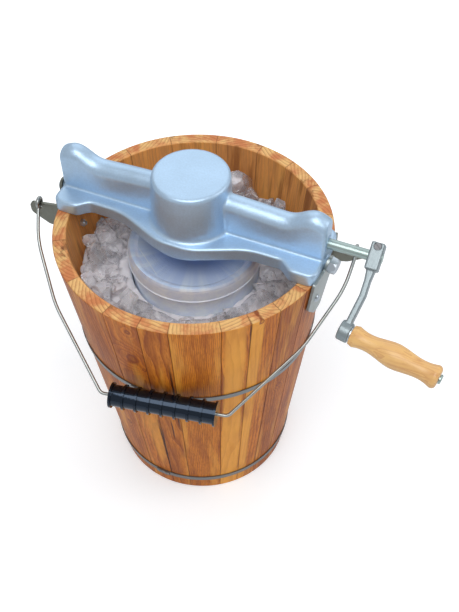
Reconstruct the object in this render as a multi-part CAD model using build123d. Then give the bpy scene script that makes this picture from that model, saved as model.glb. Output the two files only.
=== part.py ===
from build123d import *
import os
from math import asin, atan, atan2, cos, degrees, hypot, pi, radians, sin, tan

# Hand crank ice cream freezer. Millimetres, +Z up, the bucket's axis on Z and its foot at Z = 0.
# The gear frame lies along X with the crank at +X, and the carrying bail hangs towards -Y.

# ---- bucket -------------------------------------------------------------------------------
BUCKET_H = 400.0            # height of the staves
FOOT_R = 118.0              # outer radius at the foot
RIM_R = 165.0               # outer radius at the rim
STAVE_T = 16.0              # stave thickness, measured level
STAVE_GAP = 0.2             # open joint between neighbouring staves
STAVE_EASE = 1.2            # eased edges of the rim and foot
SEAM_EASE = 0.35            # eased outer corners of each joint
# Random-width staves: azimuth of each joint, anticlockwise from +X.
STAVE_SEAMS = (8.0, 28.5, 47.5, 65.0, 82.2, 103.6, 125.5, 146.5, 168.0, 190.0,
               212.0, 236.0, 258.0, 273.0, 285.0, 305.0, 317.0, 329.5, 343.5)
CROZE_Z = 16.0              # middle of the groove that holds the floor
CROZE_H = 8.0
CROZE_DEEP = 5.0
FLOOR_CLEAR = 0.25          # floor to stave, all round
FLOOR_UNDER = 3.0           # underside of the raised floor panel
FLOOR_TOP = 22.0
FLOOR_BOARDS = 3
BOARD_GAP = 0.3

# ---- hoops --------------------------------------------------------------------------------
HOOP_W = 8.0
HOOP_T = 1.3
HOOP_CLEAR = 0.25
HOOP_MIDDLE_SHARE = 0.6425   # height of the middle hoop over the bucket's
HOOP_BOTTOM_Z = 29.0
LAP_DEG = 9.0               # lapped end of each hoop
LAP_AZIMUTH = -93.0
HOOP_RIVET_R = 1.6
HOOP_RIVET_HEAD_R = 2.9
HOOP_RIVET_HEAD_T = 1.5
HOOP_RIVET_DEPTH = 8.0
FIT = 0.05                  # close fit, each side

# ---- bail and its ears --------------------------------------------------------------------
BAIL_AZIMUTH = 10.5         # direction of the bail's pivot line
BAIL_REST = 38.6            # the bail hangs this far below level
EYE_OUT = 26.5              # middle of each wire eye past the rim, along the pivot line
EYE_DROP = 2.2              # pivot line below the rim
EYE_R = 5.8
WIRE_R = 2.0
EYE_WIRE_R = 2.15           # the eye is hammered a little thicker
EAR_T = 3.0
EAR_HOLE_R = 3.2
EAR_TIP_OUT = 38.0          # ear's tip past the rim
EAR_DROP = 1.5              # ear's top below the rim
LEFT_EAR_H = 37.5
RIGHT_EAR_H = 22.0
WALL_CLEAR = 0.3            # bracket or ear to the wood
EAR_BOLT_Y = 12.0           # bolt beside the plate
EAR_BOLT_UP = 11.0          # bolt over the right ear's foot
EAR_LOW_IN = 20.0           # lower corner of the taller ear, back from the tip
EAR_LOW_UP = 5.0            # that corner and the tip's, over the foot
EAR_TIP_UP = 22.0
EAR_CORNERS = (12.0, 8.0, 6.0)  # radii: lower corner, tip's foot, tip's top
WALL_BOLT_R = 2.5
WALL_BOLT_OUT = 7.0         # bolt's length inside the bucket
WALL_HEAD_R = 5.0
WALL_HEAD_T = 3.2
NUT_AF = 8.0
NUT_T = 4.0
NUT_GAP = 0.2               # nut to the curved inside
GRIP_OUT = 46.5             # middle of the hand grip past the rim, down the bail
GRIP_L = 128.0
GRIP_R = 13.0
GRIP_RIB_R = 15.3
GRIP_RIBS = 9
GRIP_RIB_T = 2.6
GRIP_BORE_CLEAR = 0.08
BAIL_KINK_GAP = 13.0        # grip's end to the wire's bend
# The wire's bends between its eye and the grip: inwards, down the bail and radius.
BAIL_SHOULDERS = ((6.5, 45.0, 120.0), (41.5, 118.0, 120.0))
BAIL_KINK_R = 9.0

# ---- gear frame casting -------------------------------------------------------------------
FRAME_SHORT = 0.5           # each end of the frame to the rim's outer edge
FLANGE_H = 17.0             # depth of the flange skirt above the rim
FLANGE_EASE = 3.0           # rounded top edge of the flange
CAST_T = 4.0
RIB_HALF_W = 13.0
# Crest of the rib over the shaft's axis: at the drum, in the dip and at the horn.
CREST_DRUM_UP = 29.0
CREST_DIP_UP = 25.5
CREST_HORN_UP = 38.5
DIP_BACK = 48.5             # dip and horn, from the frame's end
HORN_BACK = 17.5
RIB_END_DROP = 6.0
RIB_END_EASE = 4.5
# Where the rib's section is drawn: a share of the drum, of the way to the dip, and of the rise to the horn.
RIB_IN_DRUM = 0.8
RIB_TO_DIP = (0.69, 0.905)
RIB_TO_HORN = (0.2, 0.56, 0.87, 1.2)
DRUM_R = 45.0
DRUM_DRAFT = 2.6            # the drum widens by this much down to the flange
DRUM_UP = 45.0              # drum's top over the shaft's axis
DRUM_EASE = 4.5
DRUM_FLARE = 4.4
# Flange outline, one quarter, from the drum to the waist: x, y and the corner's radius.
FLANGE_BULGE = ((20.0, 55.0, 60.0), (80.0, 28.5, 75.0))
# The lobe at its end: back from the frame's end, y and the corner's radius.
FLANGE_LOBE = ((44.5, 28.0, 10.0), (30.5, 40.5, 11.0), (0.0, 40.5, 11.0))
BOLT_BOSS_L = 24.0          # boss for each frame bolt, inside the casting
WEB_T = 14.0                # web that carries the shaft's inner bush
WEB_H = 34.0
WEB_OUT = 7.0               # middle of the web past the drum
WEB_DROP = 2.0              # middle of the web below the shaft's axis

# ---- gear train ---------------------------------------------------------------------------
SHAFT_UP = 33.5             # shaft's axis over the rim
SHAFT_R = 6.0
SHAFT_END_EASE = 0.6
SHAFT_IN = 19.0             # inner end of the crank shaft
RUN = 0.06                  # running fit, each side
BUSH_T = 3.0
BUSH_OUTER_L = 20.0
BUSH_INNER_L = 14.0
PINION_TEETH = 12
RING_TEETH = 30
RING_INSIDE = 11.0          # ring gears' pitch circle inside the drum
FACE_W = 12.0               # tooth length along the pitch cone
TOOTH_ADD = 1.8
TOOTH_DED = 2.4
TOOTH_SHARE = 0.42          # tooth thickness over circular pitch
PRESSURE_DEG = 20.0
PINION_HUB_L = 10.0
PINION_HUB_R = 8.6
PINION_PIN_R = 1.5
PLATE_EDGE = 9.7            # round bottom plate of the gear case past the drum
PLATE_EASE = 1.5
PLATE_T = 4.0
PLATE_BOSS_R = 24.0
PLATE_BOSS_H = 7.0          # boss over the rim's level
PLATE_SCREWS = 4
PLATE_SCREW_OUT = 3.0       # screws past the drum
PLATE_SCREW_R = 2.0
PLATE_SCREW_L = 12.0
PLATE_SCREW_HEAD_T = 2.2
WASHER_T = 1.5
GEAR_HUB_R = 15.0
GEAR_DISC_T = 4.0            # ring gear behind the tooth roots
GEAR_HUB_DROP = 11.0        # hub's end below the rim
LUG_W = 6.0
LUG_DEEP = 8.0
LUG_CLEAR = 0.3
TOP_HUB_R = 12.0
TOP_HUB_UP = 34.5           # hub's end over the shaft's axis
TOP_BOSS_T = 5.0
END_CLEAR = 0.3             # end play of the turning parts

# ---- crank --------------------------------------------------------------------------------
CRANK_DROOP = 38.0          # the crank arm stops this far below level, to the front
HUB_OUT = 46.0              # crank hub past the frame's end
HUB_W = 15.0
HUB_EASE = 1.6
HUB_HALF_L = 15.5
HUB_DEEP = 18.0
ARM_T = 7.0
ARM_DEEP = 14.0
ARM_EASE = 1.4
ARM_BEND = 44.0             # shaft axis to the bend
ARM_LEAN = 9.2              # the arm below the bend leans in
ARM_R = 86.5                # shaft axis to the grip pin, along the arm
BOSS_R = 11.5
BOSS_L = 13.0
SET_SCREW_R = 4.0
SET_SCREW_DEEP = 6.0
SLOT_W = 1.2                # set screw's slot: width, depth and direction
SLOT_DEEP = 1.5
SLOT_TURN = 35.0
SET_SCREW_SUNK = 0.8
SET_SCREW_UP = 11.0
PIN_R = 4.0
PIN_HEAD_R = 5.5
PIN_HEAD_T = 2.5
PIN_HEAD_EASE = 1.5
CRANK_GRIP_L = 103.0
CRANK_WASHER_T = 1.2
CRANK_GRIP_END_GAP = 0.5
# Turned profile of the wooden crank grip: share of its length and radius.
GRIP_PROFILE = ((0.0, 11.0), (0.05, 12.4), (0.23, 10.1), (0.49, 14.3),
                (0.75, 10.9), (0.94, 13.2), (1.0, 9.0))

# ---- brackets and bolts that hold the frame down --------------------------------------------
BRACKET_AZIMUTH = -8.0      # the brackets lie against the wall here
BRACKET_T = 3.0
# Bracket outline against the wall: sideways, height over the rim and corner radius.
BRACKET_CORNERS = ((-16.5, 3.0, 3.0), (-16.5, -42.0, 6.0), (6.0, -69.0, 7.0),
                   (19.0, -66.0, 8.0), (27.0, -15.0, 20.0))
BRACKET_EAR_FRONT = -8.6    # the left bracket ends here, where its ear is bent out
LEFT_EAR_AZIMUTH = -10.5    # the left ear's direction, mirrored to the right side
FRAME_BOLT_SIDE = 18.0      # frame bolt: sideways and over the rim
FRAME_BOLT_UP = 8.5
FRAME_BOLT_EDGE = 10.0      # bracket round the bolt
FRAME_BOLT_R = 4.0
FRAME_BOLT_AF = 17.0
FRAME_BOLT_HEAD_T = 9.0     # right-hand head
LEFT_BOLT_HEAD_T = 4.5      # low round head at the left
FRAME_BOLT_L = 22.0
BRACKET_BOLT_SIDE = 0.5     # wall bolt: sideways and over the rim
BRACKET_BOLT_UP = -35.0

# ---- can, lid and dasher ------------------------------------------------------------------
CAN_R = 77.0
CAN_WALL = 1.2
CAN_LIFT = 20.0             # can's bottom over the bucket's floor
CAN_DROP = 34.0             # can's edge below the rim
LID_SKIRT_OUT = 3.0         # lid's skirt past the can
LID_T = 1.5
LID_SKIRT_DROP = 13.0       # skirt's foot below the can's edge
LID_RIDGE_UP = 7.0          # ridge over the can's edge
LID_DEEP = 4.0              # the lid's middle lies this far below its ridge
LID_HUB_WALL = 3.0          # lid's hub past the gear's
LID_HUB_GAP = 1.0           # lid's hub to the gear's
PIVOT_R = 6.0
PIVOT_CUP_R = 12.0
PIVOT_CUP_H = 12.0
PIVOT_ROOF = 2.5            # metal over the stud
PIVOT_PLATE_R = 22.0
PIVOT_PLATE_T = 3.0
PIVOT_SCREWS = 3
PIVOT_SCREW_PCD = 32.0
PIVOT_SCREW_R = 1.8
PIVOT_SCREW_HEAD_R = 3.4
PIVOT_SCREW_L = 14.0
DASHER_SHAFT_R = 7.5
DASHER_SQUARE = 10.0
SQUARE_UP = 14.5            # square's foot over the shaft's axis
SQUARE_H = 13.0
DASHER_ARM_W = 12.0
DASHER_ARM_T = 7.0
ARM_LOW_UP = 20.0           # lowest arm over the can's bottom
ARM_MIDDLE_UP = 148.0
ARM_HIGH_DROP = 41.0        # highest arm below the can's edge
DASHER_BAR_IN = 33.0        # paddle bars inside the can's wall
DASHER_BAR_T = 6.0
DASHER_BAR_W = 10.0
SCRAPER_PIN_IN = 13.5       # scraper's hinge inside the can's wall
SCRAPER_PIN_R = 2.5
SCRAPER_PIN_L = 9.0
SCRAPER_W = 18.0
SCRAPER_CLEAR = 3.0         # scraper's edge to the can's outside
SCRAPER_T = 8.0
SCRAPER_END_GAP = 0.6

# ---- ice ----------------------------------------------------------------------------------
ICE_DROP = 68.0             # packed ice below the rim
ICE_CLEAR = 1.0             # ice to the turning can
ICE_WALL_CLEAR = 0.6        # ice to the bucket
LUMP_COUNT = 22
LUMP_ACROSS = 24.0          # each lump's size and the change from one to the next
LUMP_ACROSS_VARIES = 5.0
LUMP_H = 20.0
LUMP_H_VARIES = 8.0
LUMP_TAPER = 14.0
LUMP_OUT = 33.0             # middle of the lumps past the can

# ---- sizes that follow from those above ---------------------------------------------------
TAPER = (RIM_R - FOOT_R) / BUCKET_H
TAPER_DEG = degrees(atan(TAPER))
HOOP_HEIGHTS = {"hoop_middle": HOOP_MIDDLE_SHARE * BUCKET_H, "hoop_bottom": HOOP_BOTTOM_Z}
EYE_X = RIM_R + EYE_OUT
EYE_Z = BUCKET_H - EYE_DROP
EAR_TIP_X = RIM_R + EAR_TIP_OUT
EAR_TOP = BUCKET_H - EAR_DROP
EAR_BOLT_Z = EAR_TOP - RIGHT_EAR_H + EAR_BOLT_UP
GRIP_LEVEL = RIM_R + GRIP_OUT
BAIL_KINK = GRIP_L / 2 + BAIL_KINK_GAP
FRAME_HALF = RIM_R - FRAME_SHORT
SHAFT_Z = BUCKET_H + SHAFT_UP
RIB_CREST_DRUM = SHAFT_Z + CREST_DRUM_UP
RIB_CREST_DIP = SHAFT_Z + CREST_DIP_UP
RIB_CREST_HORN = SHAFT_Z + CREST_HORN_UP
RIB_DIP_X = FRAME_HALF - DIP_BACK
RIB_HORN_X = FRAME_HALF - HORN_BACK
DRUM_TOP = SHAFT_Z + DRUM_UP
RING_PITCH_R = DRUM_R - RING_INSIDE
PLATE_R = DRUM_R + PLATE_EDGE
PLATE_BOSS_TOP = BUCKET_H + PLATE_BOSS_H
PLATE_SCREW_PCD = 2 * (DRUM_R + PLATE_SCREW_OUT)
GEAR_HUB_END = BUCKET_H - GEAR_HUB_DROP
TOP_HUB_END = SHAFT_Z + TOP_HUB_UP
HUB_IN = FRAME_HALF + HUB_OUT
CAN_FLOOR_Z = FLOOR_TOP + CAN_LIFT
CAN_TOP = BUCKET_H - CAN_DROP
LID_SKIRT_R = CAN_R + LID_SKIRT_OUT
LID_FOOT = CAN_TOP - LID_SKIRT_DROP
LID_RIDGE_TOP = CAN_TOP + LID_RIDGE_UP
LID_HUB_R = GEAR_HUB_R + LID_HUB_WALL
LID_HUB_TOP = GEAR_HUB_END - LID_HUB_GAP
DASHER_SQUARE_Z = SHAFT_Z + SQUARE_UP
DASHER_SQUARE_TOP = DASHER_SQUARE_Z + SQUARE_H
DASHER_ARMS = (CAN_FLOOR_Z + ARM_LOW_UP, CAN_FLOOR_Z + ARM_MIDDLE_UP, CAN_TOP - ARM_HIGH_DROP)
DASHER_BAR_X = CAN_R - DASHER_BAR_IN
SCRAPER_PIN_X = CAN_R - SCRAPER_PIN_IN
SCRAPER_OUT = CAN_R - SCRAPER_CLEAR
SCRAPER_IN = SCRAPER_OUT - SCRAPER_W
ICE_TOP = BUCKET_H - ICE_DROP
LUMP_RING_R = CAN_R + LUMP_OUT


def outer_r(z):
    """Radius of the bucket's outside at height z."""
    return FOOT_R + TAPER * z


def inner_r(z):
    """Radius of the bucket's inside at height z."""
    return outer_r(z) - STAVE_T


def turned(points):
    """A solid of revolution about Z from a closed (radius, height) outline."""
    return revolve(make_face(Plane.XZ * Polyline(*points, close=True)), Axis.Z)


def rod(radius, length, at, direction):
    """A round bar from a point along a direction."""
    return Plane(origin=at, z_dir=direction) * Cylinder(
        radius, length, align=(Align.CENTER, Align.CENTER, Align.MIN))


def hexagon(across_flats, height, at, direction):
    """A hexagonal prism from a point along a direction."""
    return Plane(origin=at, z_dir=direction) * extrude(
        RegularPolygon(across_flats / 2, 6, major_radius=False), height)


def dome(radius, height, at, direction):
    """A low round bolt head on a face."""
    ball = (radius * radius + height * height) / (2 * height)
    half = asin(radius / ball) / 2
    cap = revolve(make_face(Plane.XZ * (
        Line((0, 0), (radius, 0))
        + ThreePointArc((radius, 0), (ball * sin(half), ball * cos(half) - ball + height), (0, height))
        + Line((0, height), (0, 0)))), Axis.Z)
    return Plane(origin=at, z_dir=direction) * cap


def polar(radius, azimuth, z):
    """A point at a radius, azimuth in degrees and height."""
    return Vector(radius * cos(radians(azimuth)), radius * sin(radians(azimuth)), z)


def wall_normal(azimuth):
    """Outward normal of the bucket's wall at an azimuth."""
    return polar(cos(radians(TAPER_DEG)), azimuth, -sin(radians(TAPER_DEG)))


# ---- bucket -------------------------------------------------------------------------------
def stave_outline():
    """Section of a stave in the XZ plane, with the croze cut in its inner face."""
    groove_low = CROZE_Z - CROZE_H / 2
    groove_high = CROZE_Z + CROZE_H / 2
    return (
        (inner_r(0) + STAVE_EASE, 0), (FOOT_R - STAVE_EASE, 0), (outer_r(STAVE_EASE), STAVE_EASE),
        (outer_r(BUCKET_H - STAVE_EASE), BUCKET_H - STAVE_EASE), (RIM_R - STAVE_EASE, BUCKET_H),
        (inner_r(BUCKET_H) + STAVE_EASE, BUCKET_H),
        (inner_r(BUCKET_H - STAVE_EASE), BUCKET_H - STAVE_EASE),
        (inner_r(groove_high), groove_high), (inner_r(groove_high) + CROZE_DEEP, groove_high),
        (inner_r(groove_low) + CROZE_DEEP, groove_low), (inner_r(groove_low), groove_low),
        (inner_r(STAVE_EASE), STAVE_EASE))


def stave(start, end, holes):
    """One stave between two joints, drilled for the fittings that pass through it."""
    half_gap = degrees(STAVE_GAP / 2 / RIM_R)
    section = make_face(Plane.XZ * Polyline(*stave_outline(), close=True))
    piece = revolve(section, Axis.Z, revolution_arc=end - start - 2 * half_gap)
    long_edges = piece.edges().filter_by(GeomType.LINE).filter_by(
        lambda e: e.length > BUCKET_H / 2 and hypot(e.center().X, e.center().Y) > outer_r(BUCKET_H / 2) - 1)
    piece = Rot(0, 0, start + half_gap) * chamfer(long_edges, SEAM_EASE)
    for hole in holes:
        piece = piece - hole
    return piece


def floor_boards():
    """Three boards side by side: a raised panel with a tongue in the croze."""
    tongue_half = CROZE_H / 2 - FLOOR_CLEAR
    tongue_r = inner_r(CROZE_Z - tongue_half) + CROZE_DEEP - FLOOR_CLEAR
    panel_r = inner_r(FLOOR_UNDER) - FLOOR_CLEAR
    disc = turned((
        (0, FLOOR_UNDER), (panel_r, FLOOR_UNDER), (panel_r, CROZE_Z - tongue_half),
        (tongue_r, CROZE_Z - tongue_half), (tongue_r, CROZE_Z + tongue_half),
        (panel_r, CROZE_Z + tongue_half), (panel_r, FLOOR_TOP), (0, FLOOR_TOP)))
    width = 2 * tongue_r / FLOOR_BOARDS
    boards = []
    for i in range(FLOOR_BOARDS):
        middle = (i - (FLOOR_BOARDS - 1) / 2) * width
        cutter = Pos(0, middle, FLOOR_TOP / 2) * Box(3 * tongue_r, width - BOARD_GAP, 2 * FLOOR_TOP)
        boards.append(disc & cutter)
    return boards


# ---- hoops --------------------------------------------------------------------------------
def band(z, start, inside, arc):
    """A flat band round the bucket, following its taper."""
    low = z - HOOP_W / 2
    high = z + HOOP_W / 2
    section = make_face(Plane.XZ * Polyline(
        (outer_r(low) + inside, low), (outer_r(low) + inside + HOOP_T, low),
        (outer_r(high) + inside + HOOP_T, high), (outer_r(high) + inside, high), close=True))
    return Rot(0, 0, start) * revolve(section, Axis.Z, revolution_arc=arc)


def lap_rivets(z):
    """Two rivets through the lapped ends into the wood."""
    rivets = []
    for side in (-1, 1):
        azimuth = LAP_AZIMUTH + side * LAP_DEG / 4
        face = polar(outer_r(z) + HOOP_CLEAR + 2 * HOOP_T, azimuth, z)
        rivets.append((face, wall_normal(azimuth)))
    return rivets


def rivet(face, outward):
    """A domed rivet with its shank."""
    return (dome(HOOP_RIVET_HEAD_R, HOOP_RIVET_HEAD_T, face, outward)
            + rod(HOOP_RIVET_R, HOOP_RIVET_DEPTH, face, -outward))


def hoop(z):
    """A hoop with its lapped, riveted end."""
    ring = band(z, 0, HOOP_CLEAR, 360)
    ring = ring + band(z, LAP_AZIMUTH - LAP_DEG / 2, HOOP_CLEAR + HOOP_T, LAP_DEG)
    for face, outward in lap_rivets(z):
        ring = ring - rod(HOOP_RIVET_R + FIT, 4 * HOOP_T, face + outward, -outward)
    return ring


# ---- bail ears ----------------------------------------------------------------------------
def ear_bolt_azimuth():
    """Azimuth of the right-hand ear's bolt, beside the plate."""
    return BAIL_AZIMUTH + degrees(atan2(EAR_BOLT_Y, outer_r(EAR_BOLT_Z)))


def ear_plane():
    """Plane against the wall at the ear's bolt: X sideways, Y up the wall."""
    azimuth = ear_bolt_azimuth()
    outward = wall_normal(azimuth)
    sideways = Vector(-sin(radians(azimuth)), cos(radians(azimuth)), 0)
    seat = polar(outer_r(EAR_BOLT_Z), azimuth, EAR_BOLT_Z) + outward * WALL_CLEAR
    return Plane(origin=seat, x_dir=sideways, z_dir=outward)


def eye_plate(azimuth, height):
    """Plate of one height that stands out from the wall, drilled for the wire eye."""
    foot = EAR_TOP - height
    share = height / LEFT_EAR_H
    low_x = outer_r(foot) + WALL_CLEAR + 0.5
    top_x = outer_r(EAR_TOP) + WALL_CLEAR + 0.5
    outline = FilletPolyline(
        (low_x, foot), (EAR_TIP_X - EAR_LOW_IN, foot + share * EAR_LOW_UP),
        (EAR_TIP_X, foot + share * EAR_TIP_UP), (EAR_TIP_X, EAR_TOP), (top_x, EAR_TOP),
        radius=[share * corner for corner in EAR_CORNERS])
    outline = outline + Line((top_x, EAR_TOP), (low_x, foot))
    plate = extrude(Plane.XZ * make_face(outline), EAR_T / 2, both=True)
    plate = plate - Pos(EYE_X, 0, EYE_Z - EYE_R) * Rot(90, 0, 0) * Cylinder(EAR_HOLE_R, 4 * EAR_T)
    return Rot(0, 0, azimuth) * plate


def ear():
    """Right-hand ear: a flange on the wall and the plate for the bail."""
    width = 2 * EAR_BOLT_Y + EAR_T
    middle = RIGHT_EAR_H / 2 - EAR_BOLT_UP
    flange = extrude(Pos(0, middle) * RectangleRounded(width, RIGHT_EAR_H, 3), EAR_T)
    body = ear_plane() * flange + eye_plate(BAIL_AZIMUTH, RIGHT_EAR_H)
    return body - ear_plane() * Cylinder(WALL_BOLT_R + FIT, 9 * EAR_T)


def wall_bolts():
    """Seats of the bolts through the wall: the right ear's and both brackets', with plate thickness."""
    bracket = bracket_plane() * Pos(BRACKET_BOLT_SIDE, BRACKET_BOLT_UP, 0)
    return [(ear_plane(), EAR_T, False), (bracket, BRACKET_T, False), (bracket, BRACKET_T, True)]


def at_wall(solid, seat, mirrored):
    """Put a solid made at the origin on its seat, or on the seat's mirror at the left."""
    placed = seat * solid
    return mirror(placed, about=Plane.YZ) if mirrored else placed


def wall_bolt(plate_t):
    """Cup-head bolt through a plate and the stave."""
    up = Vector(0, 0, 1)
    length = plate_t + WALL_CLEAR + STAVE_T + WALL_BOLT_OUT
    return (dome(WALL_HEAD_R, WALL_HEAD_T, up * plate_t, up)
            + rod(WALL_BOLT_R, length, up * plate_t, -up))


def wall_nut():
    """Nut on the inner side of the stave."""
    down = Vector(0, 0, -1)
    inside = down * (2 * WALL_CLEAR + STAVE_T * cos(radians(TAPER_DEG)) + NUT_GAP)
    return hexagon(NUT_AF, NUT_T, inside, down) - rod(WALL_BOLT_R + FIT, 3 * NUT_T, inside - down, down)


# ---- bail ---------------------------------------------------------------------------------
def bail_plane():
    """Plane of the hanging bail: X along the pivot line, Y away from it, down the front."""
    along = polar(1, BAIL_AZIMUTH, 0)
    front = polar(1, BAIL_AZIMUTH - 90, 0)
    down = front * cos(radians(BAIL_REST)) - Vector(0, 0, 1) * sin(radians(BAIL_REST))
    return Plane(origin=(0, 0, EYE_Z), x_dir=along, z_dir=along.cross(down))


def bail_wire():
    """One wire from eye to eye, and a closed eye through each ear."""
    side = [(EYE_X, EYE_R)] + [(EYE_X - inward, s) for inward, s, _ in BAIL_SHOULDERS]
    side.append((BAIL_KINK, GRIP_LEVEL))
    radii = [r for _, _, r in BAIL_SHOULDERS] + [BAIL_KINK_R]
    points = side + [(-w, s) for w, s in reversed(side)]
    path = FilletPolyline(*points, radius=radii + radii[::-1])
    profile = Plane(origin=path @ 0, z_dir=path % 0) * Circle(WIRE_R)
    wire = sweep(profile, path=path)
    for end in (-1, 1):
        wire = wire + Pos(end * EYE_X, 0, 0) * Rot(0, 90, 0) * Torus(EYE_R, EYE_WIRE_R)
    return bail_plane() * wire


def bail_grip():
    """Ribbed hand grip that turns on the wire."""
    pitch = (GRIP_L - GRIP_RIB_T) / (GRIP_RIBS - 1)
    grip = Cylinder(GRIP_R, GRIP_L)
    for i in range(GRIP_RIBS):
        grip = grip + Pos(0, 0, (i - (GRIP_RIBS - 1) / 2) * pitch) * Cylinder(GRIP_RIB_R, GRIP_RIB_T)
    grip = grip - Cylinder(WIRE_R + GRIP_BORE_CLEAR, 2 * GRIP_L)
    return bail_plane() * Pos(0, GRIP_LEVEL, 0) * Rot(0, 90, 0) * grip


# ---- gear frame ---------------------------------------------------------------------------
def flange_outline():
    """Plan of the flange: a bulge round the drum, a waist each side and a lobe at each end."""
    quarter = list(FLANGE_BULGE) + [(FRAME_HALF - back, y, r) for back, y, r in FLANGE_LOBE]
    points = [(x, -y) for x, y, _ in quarter] + [(x, y) for x, y, _ in reversed(quarter)]
    points += [(-x, y) for x, y, _ in quarter] + [(-x, -y) for x, y, _ in reversed(quarter)]
    radii = [r for _, _, r in quarter] + [r for _, _, r in reversed(quarter)]
    return FilletPolyline(*points, radius=radii * 2, close=True)


def smooth(t):
    """Smooth step from 0 to 1."""
    t = min(max(t, 0.0), 1.0)
    return t * t * (3 - 2 * t)


def crest(x):
    """Height of the shaft rib's crest along the frame."""
    x = abs(x)
    z = RIB_CREST_DRUM - (RIB_CREST_DRUM - RIB_CREST_DIP) * smooth((x - DRUM_R) / (RIB_DIP_X - DRUM_R))
    z += (RIB_CREST_HORN - RIB_CREST_DIP) * smooth((x - RIB_DIP_X) / (RIB_HORN_X - RIB_DIP_X))
    past = max(0.0, x - RIB_HORN_X) / (FRAME_HALF - RIB_HORN_X)
    return z - RIB_END_DROP * past * past


def rib_section(x, half_w, top, bottom):
    """Inverted U across the rib."""
    spring = top - half_w
    k = half_w * sin(radians(45))
    return Plane(origin=(x, 0, 0), x_dir=(0, 1, 0), z_dir=(1, 0, 0)) * make_face(
        Line((-half_w, bottom), (half_w, bottom)) + Line((half_w, bottom), (half_w, spring))
        + ThreePointArc((half_w, spring), (k, spring + k), (0, top))
        + ThreePointArc((0, top), (-k, spring + k), (-half_w, spring))
        + Line((-half_w, spring), (-half_w, bottom)))


def rib(inset, bottom):
    """The shaft tunnel's outside, or its inside when inset by the wall."""
    end = FRAME_HALF - inset
    rise = RIB_HORN_X - RIB_DIP_X
    stations = [0, RIB_IN_DRUM * DRUM_R] + [share * RIB_DIP_X for share in RIB_TO_DIP]
    stations = stations + [RIB_DIP_X + share * rise for share in RIB_TO_HORN] + [end]
    stations = [-x for x in reversed(stations[1:])] + stations
    return loft([rib_section(x, RIB_HALF_W - inset, crest(x) - inset, bottom) for x in stations])


def drum_outline(inset):
    """Half section of the drum, with a rounded top edge and a flare onto the flange."""
    top = DRUM_TOP - inset
    r_top = DRUM_R - inset
    r_low = DRUM_R + DRUM_DRAFT - inset
    low = BUCKET_H + FLANGE_H
    ease = max(DRUM_EASE - inset, 1.0)
    k = ease * (1 - sin(radians(45)))
    if inset:
        foot = Line((r_low, BUCKET_H - 1), (r_low, low))
        foot_start = (0, BUCKET_H - 1)
        flare = []
        rise = low
    else:
        m = DRUM_FLARE * (1 - sin(radians(45)))
        foot = Line((r_low + DRUM_FLARE, low - 2), (r_low + DRUM_FLARE, low))
        foot_start = (0, low - 2)
        flare = [ThreePointArc((r_low + DRUM_FLARE, low), (r_low + m, low + m), (r_low, low + DRUM_FLARE))]
        rise = low + DRUM_FLARE
    edges = Line(foot_start, foot @ 0) + foot
    for arc in flare:
        edges = edges + arc
    edges = edges + Line((r_low, rise), (r_top, top - ease))
    edges = edges + ThreePointArc((r_top, top - ease), (r_top - k, top - k), (r_top - ease, top))
    return edges + Line((r_top - ease, top), (0, top)) + Line((0, top), foot_start)


def drum(inset):
    """The gear drum's outside, or its inside when inset by the wall."""
    return revolve(make_face(Plane.XZ * drum_outline(inset)), Axis.Z)


def bracket_plane():
    """Plane against the wall for the right bracket: X sideways, Y up the wall from the rim."""
    outward = wall_normal(BRACKET_AZIMUTH)
    sideways = Vector(-sin(radians(BRACKET_AZIMUTH)), cos(radians(BRACKET_AZIMUTH)), 0)
    seat = polar(outer_r(BUCKET_H), BRACKET_AZIMUTH, BUCKET_H) + outward * WALL_CLEAR
    return Plane(origin=seat, x_dir=sideways, z_dir=outward)


def plate_screw_points():
    """Centres of the bottom plate's screws."""
    return [polar(PLATE_SCREW_PCD / 2, 45 + 360 * i / PLATE_SCREWS, BUCKET_H)
            for i in range(PLATE_SCREWS)]


def both_ends(solid):
    """The right-hand solid and its mirror at the left-hand end."""
    return [solid, mirror(solid, about=Plane.YZ)]


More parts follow.
